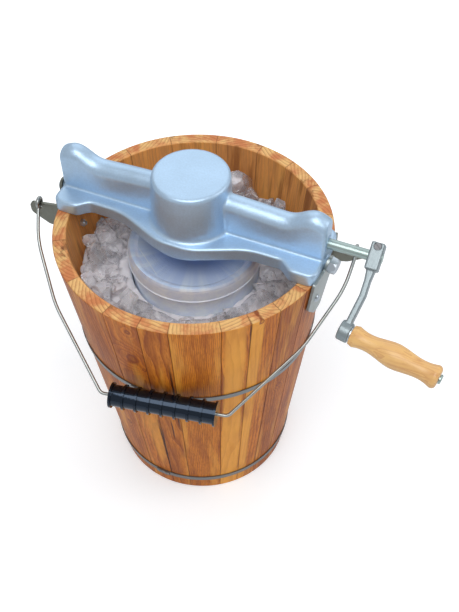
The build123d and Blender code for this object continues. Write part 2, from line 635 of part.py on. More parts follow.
def gear_frame():
    """Hollow casting: flange, shaft rib with a horn at each end, and the gear drum."""
    top = BUCKET_H + FLANGE_H
    outline = flange_outline()
    flange = Pos(0, 0, BUCKET_H) * extrude(make_face(outline), FLANGE_H)
    flange = fillet(flange.edges().group_by(Axis.Z)[-1], FLANGE_EASE)
    tunnel = rib(0, top - 1)
    ends = tunnel.faces().filter_by(Plane.YZ)
    tunnel = fillet(ends.edges().filter_by(lambda e: e.center().Z > top), RIB_END_EASE)
    body = flange + tunnel + drum(0)
    inside = Pos(0, 0, BUCKET_H - 1) * extrude(make_face(offset(outline, -CAST_T)), FLANGE_H + 1 - CAST_T)
    body = body - inside - rib(CAST_T, BUCKET_H - 1) - drum(CAST_T)
    # What is cast inside: plate ring, shaft bosses, bolt bosses and the upper gear's bearing.
    ring = Pos(0, 0, BUCKET_H) * (Cylinder(PLATE_R - 2, FLANGE_H - CAST_T + 1, align=(
        Align.CENTER, Align.CENTER, Align.MIN)) - Cylinder(DRUM_R - 1, 3 * FLANGE_H))
    body = body + ring
    bush_r = SHAFT_R + BUSH_T
    boss_r = RIB_HALF_W - 1.5
    body = body + rod(boss_r, BUSH_OUTER_L, (FRAME_HALF - BUSH_OUTER_L, 0, SHAFT_Z), (1, 0, 0))
    web = Pos(DRUM_R + WEB_OUT, 0, SHAFT_Z - WEB_DROP) * Box(WEB_T, 2 * RIB_HALF_W - 2, WEB_H)
    body = body + web
    bolt_face = bracket_plane() * Pos(FRAME_BOLT_SIDE, FRAME_BOLT_UP, 0)
    for boss in both_ends(bolt_face * Pos(0, 0, -BOLT_BOSS_L) * Cylinder(
            FRAME_BOLT_UP, BOLT_BOSS_L, align=(Align.CENTER, Align.CENTER, Align.MIN))):
        body = body + boss
    for outside in both_ends(bracket_plane() * Box(
            BUCKET_H, RIM_R, BUCKET_H, align=(Align.CENTER, Align.CENTER, Align.MIN))):
        body = body - outside
    boss_low = SHAFT_Z + ring_back() + END_CLEAR
    bearing = Pos(0, 0, boss_low) * Cylinder(
        TOP_HUB_R + TOP_BOSS_T, DRUM_TOP - CAST_T - boss_low + 1, align=(
            Align.CENTER, Align.CENTER, Align.MIN))
    body = body + bearing
    body = body - Pos(0, 0, TOP_HUB_END + END_CLEAR) * Cylinder(
        TOP_HUB_R + RUN, 22, align=(Align.CENTER, Align.CENTER, Align.MAX))
    body = body - rod(bush_r + FIT, FRAME_HALF, (DRUM_R - 6, 0, SHAFT_Z), (1, 0, 0))
    for hole in both_ends(bolt_face * Pos(0, 0, -FRAME_BOLT_L) * Cylinder(
            FRAME_BOLT_R + FIT, 2 * FRAME_BOLT_L, align=(Align.CENTER, Align.CENTER, Align.MIN))):
        body = body - hole
    for point in plate_screw_points():
        body = body - rod(PLATE_SCREW_R + FIT, PLATE_SCREW_L - 2, point - Vector(0, 0, 1), (0, 0, 1))
    return body


# ---- gear train ---------------------------------------------------------------------------
def ring_back():
    """Distance of the ring gears' backs from the shaft axis."""
    reach = hypot(RING_PITCH_R, ring_pitch_drop())
    root = radians(ring_cone()) - atan(TOOTH_DED / reach)
    return reach * cos(root) + GEAR_DISC_T


def ring_pitch_drop():
    """Height between the shaft axis and the ring gears' outer pitch circle."""
    return RING_PITCH_R * PINION_TEETH / RING_TEETH


def bevel_tooth(cone_deg, teeth, pitch_r):
    """One straight bevel tooth about +Z, its apex at the origin, centred on the XZ plane."""
    reach = pitch_r / sin(radians(cone_deg))
    pitch = 2 * pi * pitch_r / teeth
    thick = TOOTH_SHARE * pitch
    slope = tan(radians(PRESSURE_DEG))
    sunk = TOOTH_DED + 0.3
    along = Vector(sin(radians(cone_deg)), 0, cos(radians(cone_deg)))
    out = Vector(cos(radians(cone_deg)), 0, -sin(radians(cone_deg)))
    side = Vector(0, 1, 0)

    def section(scale):
        base = along * reach
        corners = []
        for height, width in ((-sunk, thick + 2 * sunk * slope), (TOOTH_ADD, thick - 2 * TOOTH_ADD * slope)):
            for sign in (-1, 1):
                corners.append((base + out * height + side * (sign * width / 2)) * scale)
        a, b, c, d = corners
        return make_face(Polyline(a, b, d, c, close=True))

    return loft([section(1.0), section((reach - FACE_W) / reach)], ruled=True)


def bevel_gear(cone_deg, teeth, pitch_r, back, phase):
    """Bevel gear about +Z with its apex at the origin; back is its disc's depth."""
    reach = pitch_r / sin(radians(cone_deg))
    inner = (reach - FACE_W) / reach
    root = cone_deg - degrees(atan(TOOTH_DED / reach))
    r_root = reach * sin(radians(root))
    z_root = reach * cos(radians(root))
    body = turned(((0, z_root * inner), (r_root * inner, z_root * inner), (r_root, z_root),
                   (r_root, z_root + back), (0, z_root + back)))
    tooth = bevel_tooth(cone_deg, teeth, pitch_r)
    gear = body
    for i in range(teeth):
        gear = gear + Rot(0, 0, 360 * (i + phase) / teeth) * tooth
    return gear


def pinion():
    """Bevel pinion on the crank shaft."""
    cone = degrees(atan(PINION_TEETH / RING_TEETH))
    gear = bevel_gear(cone, PINION_TEETH, ring_pitch_drop(), 1.0, 0)
    hub = Pos(0, 0, RING_PITCH_R) * Cylinder(PINION_HUB_R, PINION_HUB_L, align=(
        Align.CENTER, Align.CENTER, Align.MIN))
    gear = gear + hub - Cylinder(SHAFT_R + FIT, 4 * RING_PITCH_R)
    gear = Pos(0, 0, SHAFT_Z) * Rot(0, 90, 0) * gear
    return gear - pinion_pin_hole()


def pinion_pin_x():
    """Place of the cross pin that holds the pinion on its shaft."""
    return RING_PITCH_R + PINION_HUB_L * 0.62


def pinion_pin_hole():
    """Hole for the cross pin."""
    return Pos(pinion_pin_x(), 0, SHAFT_Z) * Cylinder(PINION_PIN_R + FIT, 4 * PINION_HUB_R)


def pinion_pin():
    """Cross pin."""
    return Pos(pinion_pin_x(), 0, SHAFT_Z) * Cylinder(PINION_PIN_R, 2 * PINION_HUB_R - 1)


def ring_cone():
    """Pitch cone angle of the two ring gears."""
    return degrees(atan(RING_TEETH / PINION_TEETH))


def dasher_bore():
    """Running hole for the dasher shaft."""
    return Cylinder(DASHER_SHAFT_R + RUN, 4 * BUCKET_H)


def can_gear():
    """Lower ring gear: it turns the can through two lugs in the lid's hub."""
    gear = bevel_gear(ring_cone(), RING_TEETH, RING_PITCH_R, GEAR_DISC_T, 0.5)
    gear = Pos(0, 0, SHAFT_Z) * Rot(180, 0, 0) * gear
    disc_low = PLATE_BOSS_TOP + WASHER_T + END_CLEAR
    hub = Pos(0, 0, GEAR_HUB_END) * Cylinder(GEAR_HUB_R, disc_low - GEAR_HUB_END + 2, align=(
        Align.CENTER, Align.CENTER, Align.MIN))
    seat = Pos(0, 0, disc_low) * Cylinder(RING_PITCH_R - 6, 8, align=(
        Align.CENTER, Align.CENTER, Align.MIN))
    gear = gear + hub + seat
    lugs = Pos(0, 0, GEAR_HUB_END - LUG_DEEP) * (Cylinder(GEAR_HUB_R, LUG_DEEP + 1, align=(
        Align.CENTER, Align.CENTER, Align.MIN)) & Box(4 * GEAR_HUB_R, LUG_W, 4 * LUG_DEEP))
    return gear + lugs - dasher_bore()


def thrust_washer():
    """Washer under the lower ring gear."""
    return Pos(0, 0, PLATE_BOSS_TOP) * (Cylinder(PLATE_BOSS_R, WASHER_T, align=(
        Align.CENTER, Align.CENTER, Align.MIN)) - Cylinder(GEAR_HUB_R + 0.3, 4 * WASHER_T))


def dasher_gear():
    """Upper ring gear: it turns the dasher the other way through a square."""
    gear = bevel_gear(ring_cone(), RING_TEETH, RING_PITCH_R, GEAR_DISC_T, 0.5)
    gear = Pos(0, 0, SHAFT_Z) * gear
    hub = Pos(0, 0, DASHER_SQUARE_Z) * Cylinder(TOP_HUB_R, TOP_HUB_END - DASHER_SQUARE_Z, align=(
        Align.CENTER, Align.CENTER, Align.MIN))
    gear = gear + hub
    gear = gear - Pos(0, 0, DASHER_SQUARE_Z) * Cylinder(
        DASHER_SHAFT_R + RUN, 5 * GEAR_DISC_T, align=(Align.CENTER, Align.CENTER, Align.MAX))
    square = DASHER_SQUARE + 2 * FIT
    return gear - Pos(0, 0, (DASHER_SQUARE_Z + DASHER_SQUARE_TOP) / 2 + 0.5) * Box(
        square, square, DASHER_SQUARE_TOP - DASHER_SQUARE_Z + 1.5)


def gear_plate():
    """Round bottom plate of the gear case, with the lower ring gear's bearing."""
    plate = Pos(0, 0, BUCKET_H - PLATE_T) * Cylinder(PLATE_R, PLATE_T, align=(
        Align.CENTER, Align.CENTER, Align.MIN))
    plate = fillet(plate.edges().group_by(Axis.Z)[0], PLATE_EASE)
    boss = Pos(0, 0, BUCKET_H - 1) * Cylinder(PLATE_BOSS_R, PLATE_BOSS_TOP - BUCKET_H + 1, align=(
        Align.CENTER, Align.CENTER, Align.MIN))
    plate = plate + boss - Cylinder(GEAR_HUB_R + RUN, 4 * BUCKET_H)
    for point in plate_screw_points():
        plate = plate - rod(PLATE_SCREW_R + FIT, 4 * PLATE_T, point - Vector(0, 0, 2 * PLATE_T), (0, 0, 1))
    return plate


def plate_screws():
    """Pan-head screws that hold the bottom plate."""
    screws = []
    for point in plate_screw_points():
        under = point - Vector(0, 0, PLATE_T)
        head = rod(2 * PLATE_SCREW_R, PLATE_SCREW_HEAD_T, under, (0, 0, -1))
        head = fillet(head.edges().group_by(Axis.Z)[0], PLATE_SCREW_R / 2)
        screws.append(head + rod(PLATE_SCREW_R, PLATE_SCREW_L, under, (0, 0, 1)))
    return screws


# ---- crank --------------------------------------------------------------------------------
def crank_plane():
    """Plane of the crank arm: X along the shaft, Y from the shaft towards the grip."""
    droop = radians(CRANK_DROOP)
    return Plane(origin=(0, 0, SHAFT_Z), x_dir=(1, 0, 0), z_dir=(0, sin(droop), -cos(droop)))


def pin_plane():
    """In the crank's plane, a plane at the grip pin's foot: Z along the pin, outwards."""
    lean = radians(ARM_LEAN)
    below = ARM_R - ARM_BEND
    hub_x = HUB_IN + HUB_W / 2
    foot = Vector(hub_x - below * tan(lean), ARM_R, 0)
    return Plane(origin=foot, x_dir=(0, 0, 1), z_dir=(cos(lean), sin(lean), 0))


def crank_shaft():
    """Round shaft from the pinion to the crank hub."""
    shaft = rod(SHAFT_R, HUB_IN + HUB_W + 0.8 - SHAFT_IN, (SHAFT_IN, 0, SHAFT_Z), (1, 0, 0))
    shaft = chamfer(shaft.edges().filter_by(GeomType.CIRCLE), SHAFT_END_EASE)
    return shaft - pinion_pin_hole()


def crank_arm():
    """Cast arm: a clamp hub, a bar that leans in below its bend, and a round boss."""
    hub_x = HUB_IN + HUB_W / 2
    hub = Pos(hub_x, 0, 0) * Box(HUB_W, 2 * HUB_HALF_L, HUB_DEEP)
    hub = fillet(hub.edges(), HUB_EASE)
    lean = radians(ARM_LEAN)
    shift = (ARM_R - ARM_BEND) * tan(lean)
    half = ARM_T / 2
    bar = extrude(make_face(Polyline(
        (hub_x - half - 1.5, HUB_HALF_L - 3), (hub_x + half + 1.5, HUB_HALF_L - 3),
        (hub_x + half, HUB_HALF_L + 12), (hub_x + half, ARM_BEND),
        (hub_x + half - shift, ARM_R), (hub_x - half - shift, ARM_R),
        (hub_x - half, ARM_BEND), (hub_x - half, HUB_HALF_L + 12), close=True)), ARM_DEEP / 2, both=True)
    bar = fillet(bar.edges().filter_by(lambda e: abs(e.center().Z) > ARM_DEEP / 2 - 0.1
                                       and HUB_HALF_L < e.center().Y < ARM_R - 1), ARM_EASE)
    boss = pin_plane() * Cylinder(BOSS_R, BOSS_L)
    boss = fillet(boss.edges().filter_by(GeomType.CIRCLE), ARM_EASE)
    arm = hub + bar + boss
    arm = arm - rod(SHAFT_R + FIT, 4 * HUB_W, (HUB_IN - HUB_W, 0, 0), (1, 0, 0))
    arm = arm - pin_plane() * Cylinder(PIN_R + FIT, 4 * BOSS_L)
    out = Vector(0, 0, -1)
    arm = arm - rod(SET_SCREW_R + FIT, SET_SCREW_DEEP + 3, set_screw_seat() + out * 2, -out)
    return crank_plane() * arm


def set_screw_seat():
    """Mouth of the set screw's hole, in the hub's front face above the shaft."""
    return Vector(HUB_IN + HUB_W / 2, -SET_SCREW_UP, -HUB_DEEP / 2)


def set_screw():
    """Slotted set screw in the crank hub, a little below the face."""
    face = set_screw_seat() + Vector(0, 0, SET_SCREW_SUNK)
    screw = rod(SET_SCREW_R, SET_SCREW_DEEP - SET_SCREW_SUNK, face, (0, 0, 1))
    slot = Pos(*face) * Rot(0, 0, SLOT_TURN) * Box(4 * SET_SCREW_R, SLOT_W, 2 * SLOT_DEEP)
    return crank_plane() * (screw - slot)


def grip_start():
    """Along the pin, where the washer starts."""
    return BOSS_L / 2 + FIT


def grip_pin():
    """Steel pin riveted in the boss, with a round head at the grip's outer end."""
    length = grip_start() + CRANK_WASHER_T + CRANK_GRIP_L + 2 * CRANK_GRIP_END_GAP
    pin = Pos(0, 0, -BOSS_L / 2) * Cylinder(PIN_R, length + BOSS_L / 2, align=(
        Align.CENTER, Align.CENTER, Align.MIN))
    head = Pos(0, 0, length) * Cylinder(PIN_HEAD_R, PIN_HEAD_T, align=(
        Align.CENTER, Align.CENTER, Align.MIN))
    head = fillet(head.edges().group_by(Axis.Z)[-1], PIN_HEAD_EASE)
    return crank_plane() * pin_plane() * (pin + head)


def grip_washer():
    """Washer between the boss and the wooden grip."""
    return crank_plane() * pin_plane() * Pos(0, 0, grip_start()) * (Cylinder(
        BOSS_R - 2, CRANK_WASHER_T, align=(Align.CENTER, Align.CENTER, Align.MIN))
        - Cylinder(PIN_R + FIT, 9 * CRANK_WASHER_T))


def crank_grip():
    """Turned wooden grip that spins on its pin."""
    start = grip_start() + CRANK_WASHER_T + CRANK_GRIP_END_GAP
    points = [(r, start + share * CRANK_GRIP_L) for share, r in GRIP_PROFILE]
    side = Spline(*points[1:-1])
    outline = (Line((0, points[0][1]), points[0]) + Line(points[0], points[1]) + side
               + ThreePointArc(points[-2], ((points[-2][0] + points[-1][0]) / 2 + 1.2,
                                            (points[-2][1] + points[-1][1]) / 2 + 1.2), points[-1])
               + Line(points[-1], (0, points[-1][1])) + Line((0, points[-1][1]), (0, points[0][1])))
    grip = revolve(make_face(Plane.XZ * outline), Axis.Z)
    grip = grip - Cylinder(PIN_R + RUN, 9 * CRANK_GRIP_L)
    return crank_plane() * pin_plane() * grip


# ---- brackets -----------------------------------------------------------------------------
def bracket(front):
    """Flat plate on the wall that rises past the rim to the frame's bolt."""
    corners = [(max(x, front), y, r) for x, y, r in BRACKET_CORNERS]
    top = (FRAME_BOLT_SIDE, FRAME_BOLT_UP)
    points = [(top[0], top[1])] + [(x, y) for x, y, _ in corners] + [(top[0] + FRAME_BOLT_EDGE, top[1])]
    outline = FilletPolyline(*points, radius=[r for _, _, r in corners])
    outline = outline + Line(points[-1], points[0])
    plate = extrude(make_face(outline), BRACKET_T)
    first = corners[0]
    neck = Polyline(top, (first[0] + 6, first[1]), (0, 0), (top[0] + FRAME_BOLT_EDGE - 1, 0), close=True)
    plate = plate + extrude(make_face(neck), BRACKET_T)
    plate = plate + Pos(*top, 0) * Cylinder(FRAME_BOLT_EDGE, BRACKET_T, align=(
        Align.CENTER, Align.CENTER, Align.MIN))
    plate = plate - Pos(*top, 0) * Cylinder(FRAME_BOLT_R + FIT, 9 * BRACKET_T)
    return plate - Pos(BRACKET_BOLT_SIDE, BRACKET_BOLT_UP, 0) * Cylinder(WALL_BOLT_R + FIT, 9 * BRACKET_T)


def left_bracket():
    """Left bracket, with the left ear bent out of its front edge."""
    body = bracket_plane() * bracket(BRACKET_EAR_FRONT) + eye_plate(LEFT_EAR_AZIMUTH, LEFT_EAR_H)
    return mirror(body, about=Plane.YZ)


def frame_bolt(head):
    """Bolt through a bracket into the casting, with the given head."""
    shank = Pos(0, 0, BRACKET_T - FRAME_BOLT_L) * Cylinder(
        FRAME_BOLT_R, FRAME_BOLT_L, align=(Align.CENTER, Align.CENTER, Align.MIN))
    return bracket_plane() * Pos(FRAME_BOLT_SIDE, FRAME_BOLT_UP, 0) * (head + shank)


def hex_head():
    """Hexagon head with its corners turned off."""
    head = Pos(0, 0, BRACKET_T) * extrude(
        RegularPolygon(FRAME_BOLT_AF / 2, 6, major_radius=False), FRAME_BOLT_HEAD_T)
    return head & Pos(0, 0, BRACKET_T) * Cone(
        FRAME_BOLT_AF * 0.66, FRAME_BOLT_AF * 0.5, FRAME_BOLT_HEAD_T, align=(
            Align.CENTER, Align.CENTER, Align.MIN))


def round_head():
    """Low round head."""
    up = Vector(0, 0, 1)
    return dome(FRAME_BOLT_AF / 2, LEFT_BOLT_HEAD_T, up * BRACKET_T, up)


# ---- can, lid and dasher ------------------------------------------------------------------
def can():
    """Tinned can with a bottom and a rolled top edge."""
    inner = CAN_R - CAN_WALL
    return turned((
        (0, CAN_FLOOR_Z), (CAN_R - 4, CAN_FLOOR_Z), (CAN_R, CAN_FLOOR_Z + 4), (CAN_R, CAN_TOP),
        (inner, CAN_TOP), (inner, CAN_FLOOR_Z + 5), (CAN_R - 5, CAN_FLOOR_Z + CAN_WALL),
        (0, CAN_FLOOR_Z + CAN_WALL)))


def can_lid():
    """Cover that fits over the can, with a ridge, a sunk middle and a driven hub."""
    inner = LID_SKIRT_R - LID_T
    low_top = LID_RIDGE_TOP - LID_DEEP
    seat = CAN_TOP + 0.1
    outline = (
        (LID_HUB_R, low_top), (CAN_R - 9, low_top), (CAN_R - 5, LID_RIDGE_TOP - 0.8),
        (CAN_R - 3, LID_RIDGE_TOP), (CAN_R + 0.5, LID_RIDGE_TOP), (LID_SKIRT_R - 0.6, LID_RIDGE_TOP - 2.5),
        (LID_SKIRT_R, LID_RIDGE_TOP - 5), (LID_SKIRT_R, LID_FOOT + 2), (LID_SKIRT_R + 0.8, LID_FOOT + 1),
        (LID_SKIRT_R + 0.8, LID_FOOT), (inner, LID_FOOT), (inner, seat), (0, seat),
        (0, LID_HUB_TOP), (LID_HUB_R - 1, LID_HUB_TOP), (LID_HUB_R, LID_HUB_TOP - 1))
    lid = turned(outline)
    slot_deep = LID_HUB_TOP - GEAR_HUB_END + LUG_DEEP + END_CLEAR
    slot = Pos(0, 0, LID_HUB_TOP) * Box(
        2 * (GEAR_HUB_R + LUG_CLEAR), LUG_W + 2 * LUG_CLEAR, 2 * slot_deep)
    return lid - slot - dasher_bore()


def pivot_cup():
    """Socket under the can that turns on the floor's pivot."""
    low = CAN_FLOOR_Z - PIVOT_CUP_H
    cup = Pos(0, 0, low) * Cylinder(PIVOT_CUP_R, PIVOT_CUP_H, align=(
        Align.CENTER, Align.CENTER, Align.MIN))
    return cup - Pos(0, 0, low) * Cylinder(PIVOT_R + RUN, 2 * (PIVOT_CUP_H - PIVOT_ROOF))


def floor_pivot():
    """Round plate screwed to the floor, with the stud that carries the can."""
    plate = Pos(0, 0, FLOOR_TOP) * Cylinder(PIVOT_PLATE_R, PIVOT_PLATE_T, align=(
        Align.CENTER, Align.CENTER, Align.MIN))
    stud_top = CAN_FLOOR_Z - PIVOT_ROOF - END_CLEAR
    stud = Pos(0, 0, FLOOR_TOP) * Cylinder(PIVOT_R, stud_top - FLOOR_TOP, align=(
        Align.CENTER, Align.CENTER, Align.MIN))
    pivot = plate + chamfer(stud.edges().group_by(Axis.Z)[-1], 0.8)
    for screw in pivot_screws(FIT):
        pivot = pivot - screw
    return pivot


def pivot_screws(clear):
    """Countersunk screws that hold the pivot plate, or their holes when given a clearance."""
    screws = []
    for i in range(PIVOT_SCREWS):
        top = polar(PIVOT_SCREW_PCD / 2, 90 + 360 * i / PIVOT_SCREWS, FLOOR_TOP + PIVOT_PLATE_T)
        head_h = PIVOT_SCREW_HEAD_R - PIVOT_SCREW_R
        head = Pos(*top) * Cone(PIVOT_SCREW_R + clear, PIVOT_SCREW_HEAD_R + clear, head_h, align=(
            Align.CENTER, Align.CENTER, Align.MAX))
        screws.append(head + rod(PIVOT_SCREW_R + clear, PIVOT_SCREW_L, top, (0, 0, -1)))
    return screws


def dasher():
    """Dasher: shaft with a square top, arms that carry the scrapers, and paddle bars."""
    foot = CAN_FLOOR_Z + CAN_WALL + END_CLEAR
    shaft = Pos(0, 0, foot) * Cylinder(
        DASHER_SHAFT_R, DASHER_SQUARE_Z - FIT - foot, align=(Align.CENTER, Align.CENTER, Align.MIN))
    square = Pos(0, 0, DASHER_SQUARE_Z - 1) * Box(
        DASHER_SQUARE, DASHER_SQUARE, DASHER_SQUARE_TOP - DASHER_SQUARE_Z + 1, align=(
            Align.CENTER, Align.CENTER, Align.MIN))
    body = shaft + square
    for z in DASHER_ARMS:
        reach = DASHER_BAR_X if z == DASHER_ARMS[1] else SCRAPER_PIN_X
        arm = SlotCenterToCenter(2 * reach, DASHER_ARM_W)
        body = body + Pos(0, 0, z - DASHER_ARM_T / 2) * extrude(arm, DASHER_ARM_T)
    bar_h = DASHER_ARMS[2] - DASHER_ARMS[0]
    for side in (-1, 1):
        body = body + Pos(side * DASHER_BAR_X, 0, DASHER_ARMS[0] + bar_h / 2) * Box(
            DASHER_BAR_T, DASHER_BAR_W, bar_h)
        for z, up in ((DASHER_ARMS[0], 1), (DASHER_ARMS[2], -1)):
            body = body + rod(SCRAPER_PIN_R, DASHER_ARM_T / 2 + SCRAPER_PIN_L,
                              (side * SCRAPER_PIN_X, 0, z), (0, 0, up))
    return body


def scraper(side):
    """Wooden scraper that swings on the dasher's pins."""
    low = DASHER_ARMS[0] + DASHER_ARM_T / 2 + SCRAPER_END_GAP
    high = DASHER_ARMS[2] - DASHER_ARM_T / 2 - SCRAPER_END_GAP
    board = extrude(Plane.XY * make_face(Polyline(
        (SCRAPER_IN, -SCRAPER_T / 2), (SCRAPER_OUT - 5, -SCRAPER_T / 2), (SCRAPER_OUT, SCRAPER_T / 2 - 2),
        (SCRAPER_OUT, SCRAPER_T / 2), (SCRAPER_IN, SCRAPER_T / 2), close=True)), high - low)
    board = Pos(0, 0, low) * board
    for z, align in ((low, Align.MIN), (high, Align.MAX)):
        board = board - Pos(SCRAPER_PIN_X, 0, z) * Cylinder(
            SCRAPER_PIN_R + RUN, SCRAPER_PIN_L + 1.5, align=(Align.CENTER, Align.CENTER, align))
    return Rot(0, 0, 0 if side > 0 else 180) * board


# ---- ice ----------------------------------------------------------------------------------
def ice_bed():
    """Packed ice round the can."""
    low = FLOOR_TOP + 0.3
    inside = CAN_R + ICE_CLEAR
    return turned((
        (inside, low), (inner_r(low) - ICE_WALL_CLEAR, low),
        (inner_r(ICE_TOP) - ICE_WALL_CLEAR, ICE_TOP), (inside, ICE_TOP)))


def ice_lump(i):
    """One broken lump of ice on the bed, its size and tilt worked out from its number."""
    azimuth = 360 * i / LUMP_COUNT
    size = LUMP_ACROSS + LUMP_ACROSS_VARIES * sin(2.4 * i)
    height = LUMP_H + LUMP_H_VARIES * cos(1.7 * i)
    lump = extrude(RegularPolygon(size / 2, 5 + i % 3), height, taper=LUMP_TAPER + 6 * sin(i))
    lump = Rot(0, 0, 47 * i) * lump
    return Pos(*polar(LUMP_RING_R + 4 * sin(3.1 * i), azimuth, ICE_TOP)) * lump


# ---- assembly -----------------------------------------------------------------------------
def wall_holes():
    """Holes in the staves for the wall bolts and the hoop rivets."""
    holes = [at_wall(Cylinder(WALL_BOLT_R + WALL_CLEAR, 5 * STAVE_T), seat, mirrored)
             for seat, _, mirrored in wall_bolts()]
    for z in HOOP_HEIGHTS.values():
        for face, outward in lap_rivets(z):
            holes.append(rod(HOOP_RIVET_R + FIT, HOOP_RIVET_DEPTH + 0.5, face, -outward))
    return holes


os.makedirs("parts", exist_ok=True)
nodes = {}
HOLES = wall_holes()
for i, start in enumerate(STAVE_SEAMS):
    end = STAVE_SEAMS[(i + 1) % len(STAVE_SEAMS)]
    end = end if end > start else end + 360
    nodes[f"stave_{i + 1:02d}"] = stave(start, end, HOLES)
for name, board in zip(("floor_board_front", "floor_board_middle", "floor_board_back"), floor_boards()):
    for screw in pivot_screws(FIT):
        board = board - screw
    nodes[name] = board
for name, z in HOOP_HEIGHTS.items():
    nodes[name] = hoop(z)
nodes["hoop_rivets"] = Compound([rivet(face, outward) for z in HOOP_HEIGHTS.values()
                                 for face, outward in lap_rivets(z)])
nodes["bail_ear_right"] = ear()
nodes["wall_bolts"] = Compound([at_wall(wall_bolt(plate_t), seat, mirrored)
                                for seat, plate_t, mirrored in wall_bolts()])
nodes["wall_nuts"] = Compound([at_wall(wall_nut(), seat, mirrored) for seat, _, mirrored in wall_bolts()])
nodes["bail_wire"] = bail_wire()
nodes["bail_grip"] = bail_grip()
nodes["frame_bracket_right"] = bracket_plane() * bracket(BRACKET_CORNERS[0][0])
nodes["frame_bracket_left"] = left_bracket()
nodes["frame_bolt_right"] = frame_bolt(hex_head())
nodes["frame_bolt_left"] = mirror(frame_bolt(round_head()), about=Plane.YZ)
nodes["gear_frame"] = gear_frame()
nodes["gear_plate"] = gear_plate()
nodes["plate_screws"] = Compound(plate_screws())
nodes["crank_shaft"] = crank_shaft()
bush_r = SHAFT_R + BUSH_T
bush_bore = rod(SHAFT_R + RUN, 2 * FRAME_HALF, (0, 0, SHAFT_Z), (1, 0, 0))
bush_x = FRAME_HALF - BUSH_OUTER_L
nodes["shaft_bush_outer"] = rod(bush_r, BUSH_OUTER_L, (bush_x, 0, SHAFT_Z), (1, 0, 0)) - bush_bore
bush_x = DRUM_R + WEB_OUT - WEB_T / 2
nodes["shaft_bush_inner"] = rod(bush_r, BUSH_INNER_L, (bush_x, 0, SHAFT_Z), (1, 0, 0)) - bush_bore
nodes["pinion"] = pinion()
nodes["pinion_pin"] = pinion_pin()
nodes["can_gear"] = can_gear()
nodes["thrust_washer"] = thrust_washer()
nodes["dasher_gear"] = dasher_gear()
nodes["crank_arm"] = crank_arm()
nodes["set_screw"] = set_screw()
nodes["grip_pin"] = grip_pin()
nodes["grip_washer"] = grip_washer()
nodes["crank_grip"] = crank_grip()
nodes["can"] = can()
nodes["can_lid"] = can_lid()
nodes["pivot_cup"] = pivot_cup()
nodes["floor_pivot"] = floor_pivot()
nodes["pivot_screws"] = Compound(pivot_screws(0))
nodes["dasher"] = dasher()
nodes["scraper_right"] = scraper(1)
nodes["scraper_left"] = scraper(-1)
nodes["ice_bed"] = ice_bed()
nodes["ice_lumps"] = Compound([ice_lump(i) for i in range(LUMP_COUNT)])

for name, solid in nodes.items():
    if isinstance(solid, ShapeList):
        solid = Compound(list(solid))
    export_step(solid, f"parts/{name}.step")
print(len(nodes), "nodes written")
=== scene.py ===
# %% [markdown]
# # A hand crank ice cream freezer
# A wooden bucket holds packed ice and salt, and a tall can turns in the ice under a cast gear frame.
# The engineering model gives every piece its place and size. This script gives each piece its
# surface, and models the pieces whose shape is soft: the ice, and the castings with their rounded
# edges.

# %% Load the engineering model
import math
import random
import bpy
from mathutils import Matrix, Vector, noise


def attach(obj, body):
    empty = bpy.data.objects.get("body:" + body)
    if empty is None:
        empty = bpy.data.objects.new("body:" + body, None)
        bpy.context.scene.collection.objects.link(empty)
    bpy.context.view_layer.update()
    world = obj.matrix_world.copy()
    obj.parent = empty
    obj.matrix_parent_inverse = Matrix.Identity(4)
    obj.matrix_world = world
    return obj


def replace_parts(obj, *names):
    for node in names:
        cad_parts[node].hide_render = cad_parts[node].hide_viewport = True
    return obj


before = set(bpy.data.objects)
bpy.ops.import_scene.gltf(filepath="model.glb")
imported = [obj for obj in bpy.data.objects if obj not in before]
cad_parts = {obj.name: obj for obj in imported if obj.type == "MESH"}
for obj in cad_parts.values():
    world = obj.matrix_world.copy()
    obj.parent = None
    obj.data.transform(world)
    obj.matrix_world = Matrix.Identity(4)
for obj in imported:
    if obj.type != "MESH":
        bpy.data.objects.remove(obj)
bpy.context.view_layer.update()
scene = bpy.context.scene

# %% [markdown]
# ## The camera
# The photograph looks down on the bucket from its front right, at about 50 degrees. The camera is
# set by the three directions it was measured with: its right, its up, and the way back from the
# object to it. The lens follows from the focal length in pixels and the picture's longer side,
# because the sensor's width lies along that side.

# %% Camera
PICTURE_HEIGHT = 612            # pixels
FOCAL_LENGTH = 946.706          # pixels
camera_right = Vector((0.91856, 0.39509, -0.01214))
camera_up = Vector((-0.29348, 0.70225, 0.64862))
camera_back = Vector((0.26479, -0.59223, 0.76102))
lens = bpy.data.cameras.new("photograph")
lens.lens = FOCAL_LENGTH / PICTURE_HEIGHT * lens.sensor_width
camera = bpy.data.objects.new("camera", lens)
scene.collection.objects.link(camera)
camera.matrix_world = Matrix((camera_right, camera_up, camera_back)).transposed().to_4x4()
camera.location = (0.35967, -0.70589, 1.18020)
scene.camera = camera
scene.view_settings.view_transform = "Standard"
print("lens", round(lens.lens, 2), "mm")

# %% [markdown]
# ## Shader maths as plain arithmetic
# A material is a chain of nodes, and most of them add, multiply or compare. A small class that
# wraps a node's output lets Python's own signs build that chain: `1 - mask` adds a Math node. Any
# other node comes from `node`, which takes its settings first, because a setting can change which
# sockets a node has.

